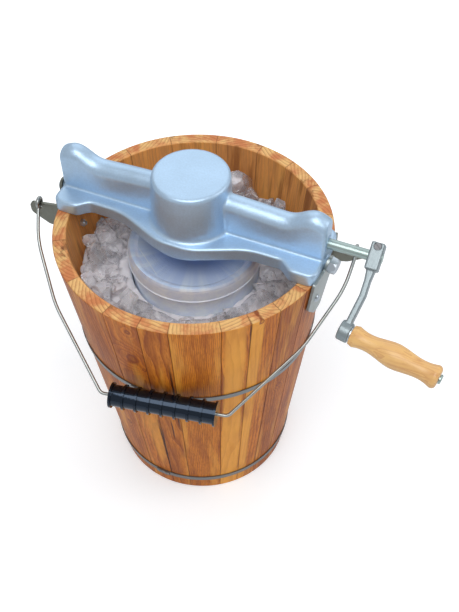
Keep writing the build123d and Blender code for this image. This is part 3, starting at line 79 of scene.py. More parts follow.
# %% Wire class
class Wire:
    """A node's output. Arithmetic on it adds Math nodes to the same material."""

    def __init__(self, tree, socket):
        self.tree = tree
        self.socket = socket

    def node(self, kind, settings=(), inputs=(), out=0):
        """Add any node: its settings first, then the values or links of its sockets."""
        made = self.tree.nodes.new(kind)
        for name, value in dict(settings).items():
            setattr(made, name, value)
        for name, value in dict(inputs).items():
            if isinstance(value, Wire):
                self.tree.links.new(value.socket, made.inputs[name])
            else:
                made.inputs[name].default_value = value
        return Wire(self.tree, made.outputs[out]) if made.outputs else None

    def twin(self, out):
        """Another output of the same node."""
        return Wire(self.tree, self.socket.node.outputs[out])

    def math(self, operation, *others):
        """A Math node on this wire, with the other numbers it takes."""
        return self.node("ShaderNodeMath", {"operation": operation}, enumerate((self, *others)))

    def __add__(self, other):
        return self.math("ADD", other)

    __radd__ = __add__

    def __mul__(self, other):
        return self.math("MULTIPLY", other)

    __rmul__ = __mul__

    def __sub__(self, other):
        return self.math("SUBTRACT", other)

    def __rsub__(self, other):
        return self.node("ShaderNodeMath", {"operation": "SUBTRACT"}, {0: other, 1: self})

    def __pow__(self, other):
        return self.math("POWER", other)

    def rise(self, low, high):
        """0 below low, 1 above high, and a smooth step between them."""
        return self.node("ShaderNodeMapRange", {"interpolation_type": "SMOOTHSTEP"},
                         enumerate((self, low, high, 0.0, 1.0)))

    def fall(self, low, high):
        """1 below low, 0 above high, and a smooth step between them."""
        return 1.0 - self.rise(low, high)

    def mix(self, colour, other):
        """The first colour where this wire is 0, and the other where it is 1."""
        return self.node("ShaderNodeMix", {"data_type": "RGBA"},
                         {0: self, 6: rgba(colour), 7: rgba(other)}, out=2)

    def stretched(self, x, y, z):
        """This vector, with each direction scaled."""
        return self.node("ShaderNodeVectorMath", {"operation": "MULTIPLY"}, {0: self, 1: (x, y, z)})

    def noise(self, scale, detail=3.0, rough=0.55, shift=0.0):
        """Cloudy noise over this vector, from 0 to 1."""
        moved = self.node("ShaderNodeVectorMath", {"operation": "ADD"},
                          {0: self, 1: (shift, -shift, 0.7 * shift)})
        return moved.node("ShaderNodeTexNoise", (), {
            "Vector": moved, "Scale": scale, "Detail": detail, "Roughness": rough})

    def line_noise(self, scale=5.0):
        """Noise over this single number, from 0 to 1."""
        return self.node("ShaderNodeTexNoise", {"noise_dimensions": "1D"}, {"W": self, "Scale": scale})

    def axes(self):
        """The three numbers of this vector."""
        split = self.node("ShaderNodeSeparateXYZ", (), {0: self})
        return split, split.twin(1), split.twin(2)

    def bump(self, depth, strength=1.0):
        """A normal bent by this height, whose full range is depth in metres."""
        return self.node("ShaderNodeBump", (), {"Strength": strength, "Distance": depth, "Height": self})


def rgba(colour):
    """A colour with its fourth number. A wire, or a colour that has it, stays as it is."""
    return colour if isinstance(colour, Wire) or len(colour) == 4 else (*colour, 1.0)


def shade(colour, factor):
    """A colour made darker or lighter, up to white."""
    return tuple(min(1.0, factor * part) for part in colour)


def distance(first, second):
    """Distance from an axis, given the offsets from it in two directions."""
    return (first * first + second * second).math("SQRT")


def new_finish(name):
    """A new material, and the wire of the Object coordinates that its patterns follow."""
    made = bpy.data.materials.new(name)
    made.use_nodes = True
    made.node_tree.nodes.clear()
    place = made.node_tree.nodes.new("ShaderNodeTexCoord").outputs["Object"]
    return made, Wire(made.node_tree, place)


def surface(place, sockets):
    """Close a material with the Principled shader."""
    shader = place.node("ShaderNodeBsdfPrincipled", (), sockets)
    place.node("ShaderNodeOutputMaterial", (), {"Surface": shader})


def dress(material, *names):
    """Give a material to CAD nodes, by name, or to new pieces."""
    for name in names:
        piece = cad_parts[name] if isinstance(name, str) else name
        piece.data.materials.clear()
        piece.data.materials.append(material)
    print(material.name, "on", len(names), "pieces")

# %% [markdown]
# ## Cedar staves
# Each stave is its own board, so each has its own tone, its own place in the tree and its own
# marks. All lengths are in metres. A pattern of the wood is noise drawn out along the board: the
# smaller its stretch, the longer its streaks.

# %% Sizes, colours and patterns of the cedar
FOOT_RADIUS = 0.118             # the bucket's outside, at the floor
BUCKET_HEIGHT = 0.400
TAPER = 0.047 / BUCKET_HEIGHT   # how far the wall leans out, per metre of height
RINGS = 430.0                   # rings per metre on the face
END_RINGS = 230.0               # rings per metre on the rim
RIM = (BUCKET_HEIGHT - 0.0012, BUCKET_HEIGHT - 0.0006)      # heights over which the rim begins
INNER_FACE = (-0.0155, -0.0135) # depths over which the inner face ends
JOINT = (0.0002, 0.0009)        # distances from the edge over which the joint's line ends

EARLY = (0.66, 0.215, 0.018)
LATE = (0.25, 0.046, 0.004)
PALE = (0.88, 0.40, 0.060)
DARK_STREAK = (0.24, 0.050, 0.008)
DARK_PATCH = (0.30, 0.062, 0.012)
DARK_MARK = (0.075, 0.018, 0.006)
KNOT = (0.20, 0.035, 0.010)
END_PALE = (0.80, 0.50, 0.20)
END_RED = (0.60, 0.22, 0.085)
END_LINE = (0.34, 0.10, 0.03)
INNER = (0.92, 0.47, 0.17)
INNER_STREAK = (0.20, 0.052, 0.014)

# Each pattern: stretch along the board, scale, detail, roughness, and step from board to board.
PATTERNS = {
    "sway": (0.07, 18.0, 2.0, 0.55, 1.0),
    "waver": (0.16, 60.0, 3.0, 0.55, 1.7),
    "fibre": (0.018, 900.0, 3.0, 0.6, 1.0),
    "streak": (0.03, 150.0, 3.0, 0.6, 0.6),
    "cloud": (0.35, 20.0, 3.0, 0.6, 2.3),
    "flame": (0.05, 48.0, 4.0, 0.6, 4.1),
    "split": (0.0, 42.0, 4.0, 0.65, 3.1),
}


class Board:
    """A stave's own directions, and the patterns that run along it."""

    def __init__(self, place, azimuth, seed):
        self.seed = seed
        self.place = place.node("ShaderNodeVectorRotate", {"rotation_type": "Z_AXIS"},
                                {"Vector": place, "Angle": -math.radians(azimuth)})
        self.outward, self.side, self.height = self.place.axes()
        self.depth = self.outward - (self.height * TAPER + FOOT_RADIUS)
        self.fibre = self.pattern("fibre")
        self.streak = self.pattern("streak")
        self.cloud = self.pattern("cloud")
        self.flame = self.pattern("flame")
        self.split = self.pattern("split")

    def pattern(self, name):
        """One of the patterns, moved to this board's own part of the noise."""
        stretch, scale, detail, rough, step = PATTERNS[name]
        return self.place.stretched(1.0, 1.0, stretch).noise(scale, detail, rough, shift=self.seed * step)

# %% [markdown]
# A tree grows in rings round its pith, which lies some way behind or beside the board. One field of
# rings gives straight grain on the face and curved end grain on the rim, and they meet at the edge
# as on real wood. A knot bends the rings round it.

# %% Rings, knots, joints and cracks
PITH_SWAYS = 0.016              # how far the pith wanders sideways along the board
PITH_DIPS = 0.003               # and how far it dips
RINGS_WAVER = 0.0035            # how far a ring strays from round
KNOT_BENDS = 4.5                # how far out a knot bends the rings, in knot sizes
KNOT_SQUEEZE = 0.8              # heights count less, so a knot is a little taller than it is wide
CRACK_WANDERS = 0.0022          # how far a crack strays from straight


def tree_rings(board, pith):
    """Distance from the pith, which wanders a little along the board."""
    pith_depth, pith_side = pith
    across = board.side - pith_side + (board.pattern("sway") - 0.5) * PITH_SWAYS
    down = board.depth - pith_depth + (board.height * 9.0 + board.seed).math("SINE") * PITH_DIPS
    return distance(across, down) + (board.pattern("waver") - 0.5) * RINGS_WAVER


def add_knots(board, ring, knots):
    """The rings bent round each knot, and a mask of the knots."""
    mask = 0.0
    for knot_side, knot_height, size in knots:
        away = distance(board.side - knot_side, (board.height - knot_height) * KNOT_SQUEEZE)
        ring = ring + away.fall(0.0, size * KNOT_BENDS) * (size * 1.5)
        edge = away + (board.place.noise(140.0, 3.0, shift=board.seed) - 0.5) * size
        eye = 0.45 + 0.55 * edge.rise(size * 0.3, size * 0.8)
        mask = (edge.fall(size * 0.8, size * 1.3) * eye).math("MAXIMUM", mask)
    return ring, mask


def dark_lines(board, half_width, cracks):
    """A mask of the joint at each edge of the board and of its cracks, which close at their ends."""
    to_edge = board.outward * math.tan(half_width) - board.side.math("ABSOLUTE")
    dark = to_edge.fall(*JOINT) * (0.1 + 0.6 * board.streak)
    for crack_side, foot, top, width in cracks:
        length = top - foot
        by_height = board.place.stretched(0.0, 0.0, 1.0)
        wander = (by_height.noise(40.0, 3.0, 0.6, shift=crack_side * 999.0) - 0.5) * CRACK_WANDERS
        off = (board.side - crack_side + wander).math("ABSOLUTE")
        opens = board.height.rise(foot, foot + length * 0.25)
        closes = board.height.fall(top - length * 0.3, top)
        dark = dark.math("MAXIMUM", off.fall(width * 0.25, width * 0.9) * (opens * closes))
    return dark

# %% [markdown]
# The face is painted in layers, from the rings up: streaks, fibres, sapwood, dark patches and pale
# streaks. The end grain on the rim has its own colours and finer rings, and it has dried and split.

# %% Face and end grain
def reddened(colour, tone, red):
    """A wood colour made lighter by tone, and with less green and blue by red."""
    keep = (1.0, 1.0 - 0.45 * red, 1.0 - 0.6 * red)
    return tuple(part * (1.0 + tone) * kept for part, kept in zip(colour, keep))


def face_wood(board, ring, late_wood, tone, red, pale):
    """The colour of the board's face."""
    late = reddened(LATE, tone, red)
    strong = (ring * 160.0 + board.seed).line_noise()
    wood = (late_wood * (strong * 1.5 + 0.1)).mix(reddened(EARLY, tone, red), late)
    wood = (board.streak.rise(0.40, 0.70) * 0.55).mix(wood, late)
    wood = (board.flame.rise(0.52, 0.68) * 0.5).mix(wood, DARK_STREAK)
    wood = (board.fibre.rise(0.45, 0.72) * 0.42).mix(wood, shade(late, 0.55))
    if pale:
        low, high = pale
        sap = board.side.rise(low - 0.003, low + 0.002) * board.side.fall(high - 0.002, high + 0.003)
        sap_wood = (late_wood * 0.35 + board.streak.rise(0.4, 0.75) * 0.3).mix(PALE, EARLY)
        wood = (sap * (0.95 - 0.3 * board.cloud)).mix(wood, sap_wood)
    wood = (board.cloud.rise(0.45, 0.8) * (0.45 + 0.5 * red)).mix(wood, DARK_PATCH)
    return ((1.0 - board.flame).rise(0.5, 0.68) * 0.5).mix(wood, PALE)


def end_wood(board, ring):
    """The colour of the end grain on the rim."""
    arc = (ring * END_RINGS).math("FRACT")
    speckle = (board.place.noise(600.0, 2.0) - 0.5) * 0.3
    wood = board.flame.rise(0.38, 0.62).mix(END_PALE, END_RED)
    wood = (arc ** 3.0 * (0.35 + 0.7 * board.cloud) + speckle).mix(wood, END_LINE)
    return (board.split.rise(0.60, 0.72) * 0.75).mix(wood, DARK_MARK)

# %% [markdown]
# The whole finish puts them together. Inside the bucket the wood is paler, with dark streaks.

# %% Cedar finish
def cedar(name, azimuth, half_width, seed, tone=0.0, red=0.0, pith=(-0.09, 0.0), pale=None,
          cracks=(), knots=()):
    """Varnished cedar for the stave at this azimuth.

    pith is the tree's middle, as depth and sideways. pale is a sideways range of sapwood. A crack is
    (sideways, foot, top, width), and a knot is (sideways, height, size).
    """
    made, place = new_finish(name)
    board = Board(place, azimuth, seed)
    ring, knot_mask = add_knots(board, tree_rings(board, pith), knots)
    turn = (ring * RINGS).math("FRACT")
    late_wood = (turn ** 2.6) * turn.fall(0.93, 1.0)
    rim = board.height.rise(*RIM)
    inside = board.depth.fall(*INNER_FACE)
    dark = dark_lines(board, half_width, cracks)
    wood = rim.mix(face_wood(board, ring, late_wood, tone, red, pale), end_wood(board, ring))
    wood = (inside * 0.42).mix(wood, INNER)
    wood = (inside * board.split.rise(0.50, 0.64) * 0.6).mix(wood, INNER_STREAK)
    if knots:
        wood = (knot_mask * 0.85).mix(wood, KNOT)
    relief = late_wood * 0.35 + board.fibre * 0.4 - dark * 2.0
    surface(place, {
        "Base Color": dark.mix(wood, DARK_MARK),
        "Roughness": 0.34 + board.fibre * 0.16 + rim * 0.2 + inside * 0.12,
        "Coat Weight": 0.05, "Coat Roughness": 0.2, "Specular IOR Level": 0.18,
        "Normal": relief.bump(0.0005, 0.6)})
    return made

# %% [markdown]
# The staves in front are read off the photograph one by one: a knot high on the front, long dark
# cracks beside it, a pale board of sapwood to its right, and deep red brown ones at the right-hand
# side. The marks of the staves at the back are guesses.

# %% Dress the staves
# The azimuth of each joint between two staves, in degrees.
SEAMS = (8.0, 28.5, 47.5, 65.0, 82.2, 103.6, 125.5, 146.5, 168.0, 190.0,
         212.0, 236.0, 258.0, 273.0, 285.0, 305.0, 317.0, 329.5, 343.5, 368.0)
MARKS = {
    1: {"tone": -0.05, "red": 0.3, "pith": (-0.12, 0.05)},
    2: {"tone": -0.22, "red": 0.45, "pith": (-0.05, -0.03)},
    3: {"tone": 0.05, "pith": (-0.09, 0.07)},
    4: {"tone": 0.0, "pith": (0.06, -0.02)},
    5: {"tone": -0.12, "red": 0.2, "pith": (-0.10, -0.06)},
    6: {"tone": 0.1, "pith": (-0.08, 0.02)},
    7: {"tone": -0.08, "red": 0.15, "pith": (0.05, 0.05)},
    8: {"tone": 0.04, "pith": (-0.12, -0.02)},
    9: {"tone": 0.1, "pith": (-0.07, 0.06)},
    10: {"tone": 0.14, "pith": (-0.11, 0.03)},
    11: {"tone": 0.02, "red": 0.1, "pith": (-0.10, -0.05)},
    12: {"tone": -0.04, "red": 0.15, "pith": (-0.07, 0.04),
         "knots": ((0.006, 0.134, 0.0035), (-0.015, 0.255, 0.003))},
    13: {"tone": 0.0, "red": 0.15, "pith": (-0.06, 0.01),
         "knots": ((0.004, 0.326, 0.0078), (0.017, 0.309, 0.0028), (0.008, 0.383, 0.0030)),
         "cracks": ((0.0165, 0.000, 0.205, 0.0022),)},
    14: {"tone": -0.05, "red": 0.1, "pith": (-0.13, 0.02),
         "cracks": ((0.0120, 0.160, 0.352, 0.0020), (-0.0135, 0.000, 0.190, 0.0022),
                    (0.002, 0.14, 0.2, 0.0012))},
    15: {"tone": 0.06, "pith": (-0.02, 0.16)},
    16: {"tone": 0.12, "pith": (-0.16, -0.03), "pale": (-0.012, 0.011),
         "cracks": ((0.0165, 0.34, 0.41, 0.0016),)},
    17: {"tone": 0.02, "red": 0.1, "pith": (-0.09, 0.05), "pale": (-0.02, -0.003),
         "knots": ((-0.006, 0.397, 0.003),)},
    18: {"tone": -0.22, "red": 0.22, "pith": (-0.05, -0.03), "knots": ((0.001, 0.226, 0.003),)},
    19: {"tone": -0.18, "red": 0.28, "pith": (-0.07, 0.02),
         "knots": ((-0.006, 0.126, 0.003), (-0.02, 0.25, 0.0025))},
}
STAVE_SEED = 3.7                # times the stave's number
FLOOR_SEED = 41.0               # plus the floor board's number
for number, marks in MARKS.items():
    start, end = SEAMS[number - 1], SEAMS[number]
    half_width = math.radians(end - start) / 2
    node = f"stave_{number:02d}"
    dress(cedar("cedar_" + node, (start + end) / 2, half_width, seed=number * STAVE_SEED, **marks), node)
for number, node in enumerate(("floor_board_front", "floor_board_middle", "floor_board_back")):
    dress(cedar("cedar_" + node, 0.0, 0.1, tone=-0.2, seed=FLOOR_SEED + number), node)

# %% [markdown]
# ## Metals
# The frame is sand-cast aluminium: satin and faintly pebbled. Its colour is painted a little blue,
# a painted reflection of the sky, and the right bracket is painted lighter for the same reason.
# Rolled and drawn steel is smoother. All of them come from one function, because they differ only
# in colour, gloss, the size and depth of their grain, and their stains.

# %% Metal finish
def metal(name, colour, rough, grain=500.0, relief=0.00005, metallic=0.9, stain=None, stained=0.3):
    """A satin metal with a fine grain, uneven gloss and, where given, a stain in soft patches."""
    made, place = new_finish(name)
    cloud = place.noise(22.0, 4.0, 0.6)
    fine = place.noise(grain, 3.0, 0.6, shift=3.0)
    body = (cloud * 0.6 + fine * 0.4).rise(0.3, 0.75).mix(shade(colour, 0.88), shade(colour, 1.07))
    if stain:
        patch = place.noise(60.0, 5.0, 0.65, shift=9.0).rise(0.5, 0.75)
        body = (patch * stained).mix(body, stain)
    surface(place, {
        "Base Color": body, "Metallic": metallic,
        "Roughness": rough + (cloud - 0.5) * 0.16 + (fine - 0.5) * 0.1,
        "Normal": fine.bump(relief, 1.0)})
    return made


CAST = {"grain": 420.0, "relief": 0.0002}
ROLLED = {"grain": 260.0}
# the blue in this colour is a painted reflection of the sky
cast_metal = metal("cast_aluminium", (0.50, 0.67, 0.86), 0.43, metallic=0.76, **CAST)
arm_metal = metal("crank_aluminium", (0.30, 0.35, 0.37), 0.42, metallic=0.8, **CAST)
hoop_metal = metal("hoop_steel", (0.24, 0.26, 0.27), 0.36, stain=(0.16, 0.11, 0.08), **ROLLED)
wire_metal = metal("galvanized_wire", (0.40, 0.42, 0.41), 0.3, grain=380.0)
# The right bracket is the same steel as the left one. Its lighter colour is a painted reflection of the
# sky, and its patches are real stains.
sky_lit_bracket_metal = metal("bracket_steel_painted_sky", (0.36, 0.40, 0.40), 0.34, stain=(0.16, 0.15, 0.11), stained=0.4,
                      **ROLLED)
plate_metal = metal("bracket_steel", (0.20, 0.205, 0.175), 0.33, stain=(0.13, 0.12, 0.08), stained=0.5,
                    **ROLLED)
bolt_metal = metal("zinc_bolt", (0.56, 0.62, 0.68), 0.3, grain=600.0)
shaft_metal = metal("shaft_steel", (0.42, 0.52, 0.50), 0.33, grain=700.0)
gear_metal = metal("gear_iron", (0.20, 0.20, 0.21), 0.5, grain=420.0, relief=0.0001)
bush_metal = metal("bronze", (0.58, 0.38, 0.16), 0.34)
dasher_metal = metal("dasher_aluminium", (0.62, 0.64, 0.67), 0.4, grain=420.0, relief=0.0001)

# %% Dress the metal pieces
dress(cast_metal, "gear_frame", "gear_plate", "shaft_bush_outer")
dress(arm_metal, "crank_arm")
dress(hoop_metal, "hoop_middle", "hoop_bottom", "hoop_rivets")
dress(wire_metal, "bail_wire")
dress(plate_metal, "bail_ear_right", "frame_bracket_left")
# the right bracket, made lighter by painted reflection
dress(sky_lit_bracket_metal, "frame_bracket_right")
dress(bolt_metal, "wall_bolts", "wall_nuts", "frame_bolt_right", "frame_bolt_left", "plate_screws",
      "pivot_screws", "grip_washer")
dress(shaft_metal, "crank_shaft", "grip_pin", "pinion_pin", "floor_pivot", "pivot_cup")
dress(gear_metal, "set_screw", "can_gear", "dasher_gear", "pinion")
dress(bush_metal, "shaft_bush_inner", "thrust_washer")
dress(dasher_metal, "dasher")

# %% [markdown]
# ## The can and its lid
# The can is tinned steel. It stands in ice, so its outside is white with frost up to the lid's
# ridge, and the middle of the lid stays bare, with fine rings from the lathe and one scratch. On
# the bare tin a fan of light streaks is a painted reflection, and the tin is painted darker towards
# the middle as painted shade under the frame. The frost is a mask on radius and height, broken up
# by noise.

# %% Can finish
TIN_DULL = (0.56, 0.68, 0.92)
# TIN_BRIGHT is the tin's lighter tone and also the colour of its painted reflection streaks
TIN_BRIGHT = (0.88, 0.95, 1.0)
# painted shade: the tin's colour towards the lid's middle, where the frame shades it
TIN_PAINTED_SHADE = (0.34, 0.45, 0.72)  # towards the middle, under the frame
RIME_THIN = (0.72, 0.81, 0.98)
RIME_THICK = (0.86, 0.94, 1.0)
SCRATCHED = (0.85, 0.9, 0.95)
LATHE_RINGS = 900.0             # scale of the lathe's rings
SCRATCH_SIDE = (0.62, 0.78)     # the direction square to the scratch
SCRATCH_OUT = 0.0615            # its distance from the lid's middle
SCRATCH_MIDDLE = 0.052          # it fades out away from this radius


def canned(name, frost_top, frost_from):
    """Tinned steel, frosted outside the radius frost_from and below the height frost_top."""
    made, place = new_finish(name)
    x, y, z = place.axes()
    radius = distance(x, y)
    patch = place.noise(70.0, 5.0, 0.65)
    fine = place.noise(900.0, 3.0, 0.6)
    cloud = place.noise(16.0, 4.0, 0.6, shift=5.0)
    outside = (radius + (patch - 0.5) * 0.0016).rise(frost_from - 0.0012, frost_from + 0.0004)
    frost = outside * (z + (patch - 0.5) * 0.004).fall(frost_top - 0.003, frost_top)
    # painted reflection: a fan of light streaks round the lid's middle
    reflection_fan = (y.math("ARCTAN2", x) * 2.2 + 3.0).line_noise(2.0)
    lathe = (radius * LATHE_RINGS).line_noise()
    # uneven tone, plus the painted reflection streaks of the fan
    bare = (cloud * 0.6 + reflection_fan.rise(0.35, 0.75) * 0.4).rise(0.0, 1.0).mix(TIN_DULL, TIN_BRIGHT)
    # painted shade: the bare tin is darker towards the middle, under the frame
    bare = radius.fall(0.030, 0.074).mix(bare, TIN_PAINTED_SHADE)
    rime = patch.rise(0.3, 0.75).mix(RIME_THIN, RIME_THICK)
    off_line = (x * SCRATCH_SIDE[0] + y * SCRATCH_SIDE[1] + SCRATCH_OUT).math("ABSOLUTE")
    off_middle = (radius - SCRATCH_MIDDLE).math("ABSOLUTE")
    scratch = off_line.fall(0.0003, 0.0008) * off_middle.fall(0.012, 0.02)
    surface(place, {
        "Base Color": (scratch * 0.6).mix(frost.mix(bare, rime), SCRATCHED),
        "Metallic": 0.45 - frost * 0.35,
        "Roughness": 0.30 + frost * 0.25 + (lathe - 0.5) * 0.08 + (cloud - 0.5) * 0.1,
        "Normal": (fine * (0.3 + frost) + patch * frost * 0.8).bump(0.0002, 0.8)})
    return made


dress(canned("tinned_lid", 0.3705, 0.0775), "can_lid")
dress(canned("tinned_can", 0.5, 0.070), "can")

# %% [markdown]
# ## Wood and plastic to hold
# The crank's grip is pale turned hardwood with its grain along it. The scrapers are plain maple.
# The bail's grip is black moulded plastic, smooth enough to mirror the lamps.

# %% Grip finishes
def drawn_out(place, axis, amount):
    """The place with one of its three directions squeezed, which draws a pattern out along it."""
    return place.stretched(*[amount if direction == axis else 1.0 for direction in range(3)])


def turned_wood(name, light, dark, along, rough, coat):
    """Close-grained wood whose grain runs along one axis: 0 is x, 2 is z."""
    made, place = new_finish(name)
    band = (drawn_out(place, along, 0.06).noise(90.0, 2.0, shift=4.0) * 7.0).math("FRACT")
    fibre = drawn_out(place, along, 0.03).noise(1100.0, 3.0, 0.6)
    cloud = place.noise(30.0, 3.0, 0.6)
    body = ((band ** 2.0) * 0.45 + (1.0 - cloud).rise(0.4, 0.75) * 0.2).mix(light, dark)
    body = (fibre.rise(0.55, 0.8) * 0.35).mix(body, shade(dark, 0.7))
    surface(place, {
        "Base Color": body, "Roughness": rough + fibre * 0.15, "Coat Weight": coat,
        "Coat Roughness": 0.2, "Normal": (fibre + band * 0.3).bump(0.0002, 0.5)})
    return made


def moulded(name, colour, rough):
    """Glossy moulded plastic with a barely uneven skin and fine scuffs."""
    made, place = new_finish(name)
    skin = place.noise(60.0, 3.0, 0.5)
    scuff = place.stretched(1.0, 0.3, 1.0).noise(700.0, 3.0, 0.6)
    body = scuff.rise(0.62, 0.8).mix(colour, tuple(2.2 * part + 0.01 for part in colour))
    surface(place, {
        "Base Color": body, "Roughness": rough + scuff.rise(0.5, 0.8) * 0.14,
        "Specular Tint": (0.45, 0.66, 1.0, 1.0), "Coat Weight": 0.2, "Coat Roughness": 0.04,
        "Normal": skin.bump(0.0003, 0.4)})
    return made


dress(turned_wood("turned_wood", (0.82, 0.50, 0.185), (0.52, 0.20, 0.075), along=0, rough=0.3, coat=0.2),
      "crank_grip")
dress(turned_wood("scraper_wood", (0.66, 0.48, 0.27), (0.45, 0.27, 0.12), along=2, rough=0.5, coat=0.0),
      "scraper_right", "scraper_left")
dress(moulded("black_plastic", (0.003, 0.005, 0.009), 0.05), "bail_grip")

# %% [markdown]
# ## Handling meshes
# An operator acts on whatever is selected, and the engineering model arrives selected. These
# helpers make one piece the only selected one, add a modifier and apply it, copy a node for
# rounding, and count triangles.

# %% Mesh helpers
SAME_POINT = 0.00001            # points this close are one


def hold(piece):
    """Make this the only selected object, and the active one."""
    bpy.ops.object.select_all(action="DESELECT")
    piece.select_set(True)
    bpy.context.view_layer.objects.active = piece


def modify(piece, kind, **settings):
    """Add a modifier with its settings, and apply it."""
    hold(piece)
    modifier = piece.modifiers.new(kind.lower(), kind)
    for name, value in settings.items():
        setattr(modifier, name, value)
    bpy.ops.object.modifier_apply(modifier=modifier.name)


def merged_copy(node, name):
    """A copy of a CAD node as one closed mesh with its own normals."""
    piece = bpy.data.objects.new(name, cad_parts[node].data.copy())
    scene.collection.objects.link(piece)
    hold(piece)
    bpy.ops.mesh.customdata_custom_splitnormals_clear()
    bpy.ops.object.mode_set(mode="EDIT")
    bpy.ops.mesh.select_all(action="SELECT")
    bpy.ops.mesh.remove_doubles(threshold=SAME_POINT)
    bpy.ops.object.mode_set(mode="OBJECT")
    return piece


def faces_of(piece):
    """How many triangles a piece has."""
    return sum(len(face.vertices) - 2 for face in piece.data.polygons)

# %% [markdown]
# ## The gear frame and the crank arm as castings
# A casting has no sharp edge: the pattern leaves the sand with its corners rounded, and the metal
# fills the inner ones with a fillet. Beveling each edge by hand would take long, because the drum,
# the rib and the flange meet at odd angles. A fine voxel remesh, smoothed a little, rounds every
# edge and corner at once.

# %% Cast pieces
def cast_copy(node, name, voxel, passes):
    """A rounded copy that stands for a CAD node."""
    piece = merged_copy(node, name)
    modify(piece, "REMESH", mode="VOXEL", voxel_size=voxel, use_smooth_shade=True)
    modify(piece, "SMOOTH", factor=0.5, iterations=passes)
    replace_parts(piece, node)
    print(name, faces_of(piece), "triangles")
    return piece


gear_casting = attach(cast_copy("gear_frame", "gear_casting", 0.0014, 3), "tub")
arm_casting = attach(cast_copy("crank_arm", "arm_casting", 0.0008, 4), "crank")
dress(cast_metal, gear_casting)
dress(arm_metal, arm_casting)

# %% [markdown]
# ## Ice
# Ice is clear, with white clouds where air was trapped as it froze. So its finish mixes a glassy
# shader with a white one, and the finely broken ice of the bed has more of the white.

# %% Ice finish
ICE_IOR = 1.31


def frozen(name, clear, cloud_scale):
    """Clear ice with white clouds of trapped air in it."""
    made, place = new_finish(name)
    cloud = place.noise(cloud_scale, 4.0, 0.6).rise(0.48, 0.75)
    fine = place.noise(260.0, 4.0, 0.6, shift=2.0)
    glassy = place.node("ShaderNodeBsdfPrincipled", (), {
        "Base Color": (0.97, 0.97, 0.98, 1.0), "Roughness": 0.03 + fine * 0.12, "IOR": ICE_IOR,
        "Transmission Weight": 1.0, "Normal": fine.bump(0.0005, 0.35)})
    white = place.node("ShaderNodeBsdfPrincipled", (), {
        "Base Color": (0.97, 0.95, 1.0, 1.0), "Roughness": 0.06 + fine * 0.2, "IOR": ICE_IOR,
        "Normal": fine.bump(0.0006, 0.5)})
    white_share = (1.0 - clear) + cloud * (clear * 0.55)
    both = place.node("ShaderNodeMixShader", (), {0: white_share, 1: glassy, 2: white})
    place.node("ShaderNodeOutputMaterial", (), {"Surface": both})
    return made


lump_ice = frozen("clear_ice", 0.82, 38.0)
bed_ice = frozen("packed_ice", 0.25, 60.0)

# %% [markdown]
# Broken ice has flat faces where it split and round edges where it melted. One lump is a cube with
# its corners cut off by planes at odd angles, then beveled. Eight such lumps are enough, because
# each copy of them is turned and scaled.

# %% One lump of broken ice
LUMP_KINDS = 8
CUTS = 7


def any_direction(dice):
    """A random vector, which may point any way."""
    return Vector([dice.uniform(-1, 1) for _ in range(3)])


def broken_lump(seed):
    """A lump about 2 units across, with flat breaks and melted edges."""
    dice = random.Random(seed)
    bpy.ops.object.select_all(action="DESELECT")
    bpy.ops.mesh.primitive_cube_add(size=2)
    lump = bpy.context.object
    bpy.ops.object.mode_set(mode="EDIT")
    for _ in range(CUTS):
        facing = any_direction(dice).normalized()
        bpy.ops.mesh.select_all(action="SELECT")
        bpy.ops.mesh.bisect(plane_co=facing * dice.uniform(0.7, 1.0), plane_no=facing,
                            use_fill=True, clear_outer=True)
    bpy.ops.object.mode_set(mode="OBJECT")
    modify(lump, "BEVEL", width=0.2, segments=3, limit_method="ANGLE", angle_limit=math.radians(20))
    bpy.ops.object.shade_smooth()
    return lump


lumps = [broken_lump(seed) for seed in range(LUMP_KINDS)]
print("lump triangles", [faces_of(lump) for lump in lumps])

# %% [markdown]
# The heap is uneven, as it is in the photograph: high at the left, low along the front, and with
# single lumps that stand against the back wall. Its height is a table by azimuth. A lump keeps
# clear of the turning can and of the wall, and one that would crowd its neighbours is nearly
# always dropped.

# %% The shape of the heap
CAN_CLEAR_R = 0.0815
WALL_CLEAR = 0.0175             # the wall's thickness and a gap, from the outside of the bucket
ICE_HEIGHTS = ((0, 0.342), (40, 0.342), (65, 0.349), (100, 0.346), (150, 0.345), (185, 0.354),
               (205, 0.358), (235, 0.350), (262, 0.341), (300, 0.341), (322, 0.348), (345, 0.348),
               (360, 0.342))


def heap_height(azimuth):
    """Height of the heap's top at an azimuth in degrees."""
    azimuth %= 360
    for (start, low), (end, high) in zip(ICE_HEIGHTS, ICE_HEIGHTS[1:]):
        if start <= azimuth <= end:
            return low + (high - low) * (azimuth - start) / (end - start)


def wall_radius(height):
    """How far out a lump may reach at a height."""
    return FOOT_RADIUS + TAPER * height - WALL_CLEAR


def placed_lump(number, at, size, up):
    """A copy of one of the lumps, at its place and with its upper end towards up."""
    copy = bpy.data.objects.new("lump", lumps[number % len(lumps)].data.copy())
    scene.collection.objects.link(copy)
    turn = Vector(up).to_track_quat("Z", "Y").to_matrix().to_4x4()
    copy.data.transform(Matrix.Translation(Vector(at)) @ turn @ Matrix.Diagonal((*Vector(size), 1.0)))
    return copy

# %% Pack the ice
LUMP_COUNT = 125
LUMP_HALF = (0.0085, 0.0190)    # smallest and largest half size
LUMP_SIZE = ((0.85, 1.15), (0.85, 1.1), (0.7, 1.0))
WALL_GAP = 1.12                 # how far its middle keeps from the wall, in half sizes
CAN_GAP = 1.2                   # and from the can
SINKS = 0.9                     # how far it lies below the heap's top, in half sizes
SINKS_MORE = 0.006              # how much further at most, in metres
CROWDED = 0.66                  # share of two half sizes' sum within which lumps crowd each other
CROWDED_DROPPED = 0.997         # share of the crowded lumps that are dropped
STANDING = (                    # place, half size and upward direction
    ((0.003, 0.126, 0.357), (0.020, 0.014, 0.025), (0.22, -0.1, 1.0)),
    ((-0.014, 0.124, 0.347), (0.013, 0.012, 0.015), (-0.3, 0.3, 1.0)),
    ((0.066, 0.112, 0.349), (0.010, 0.009, 0.013), (0.2, 0.2, 1.0)))

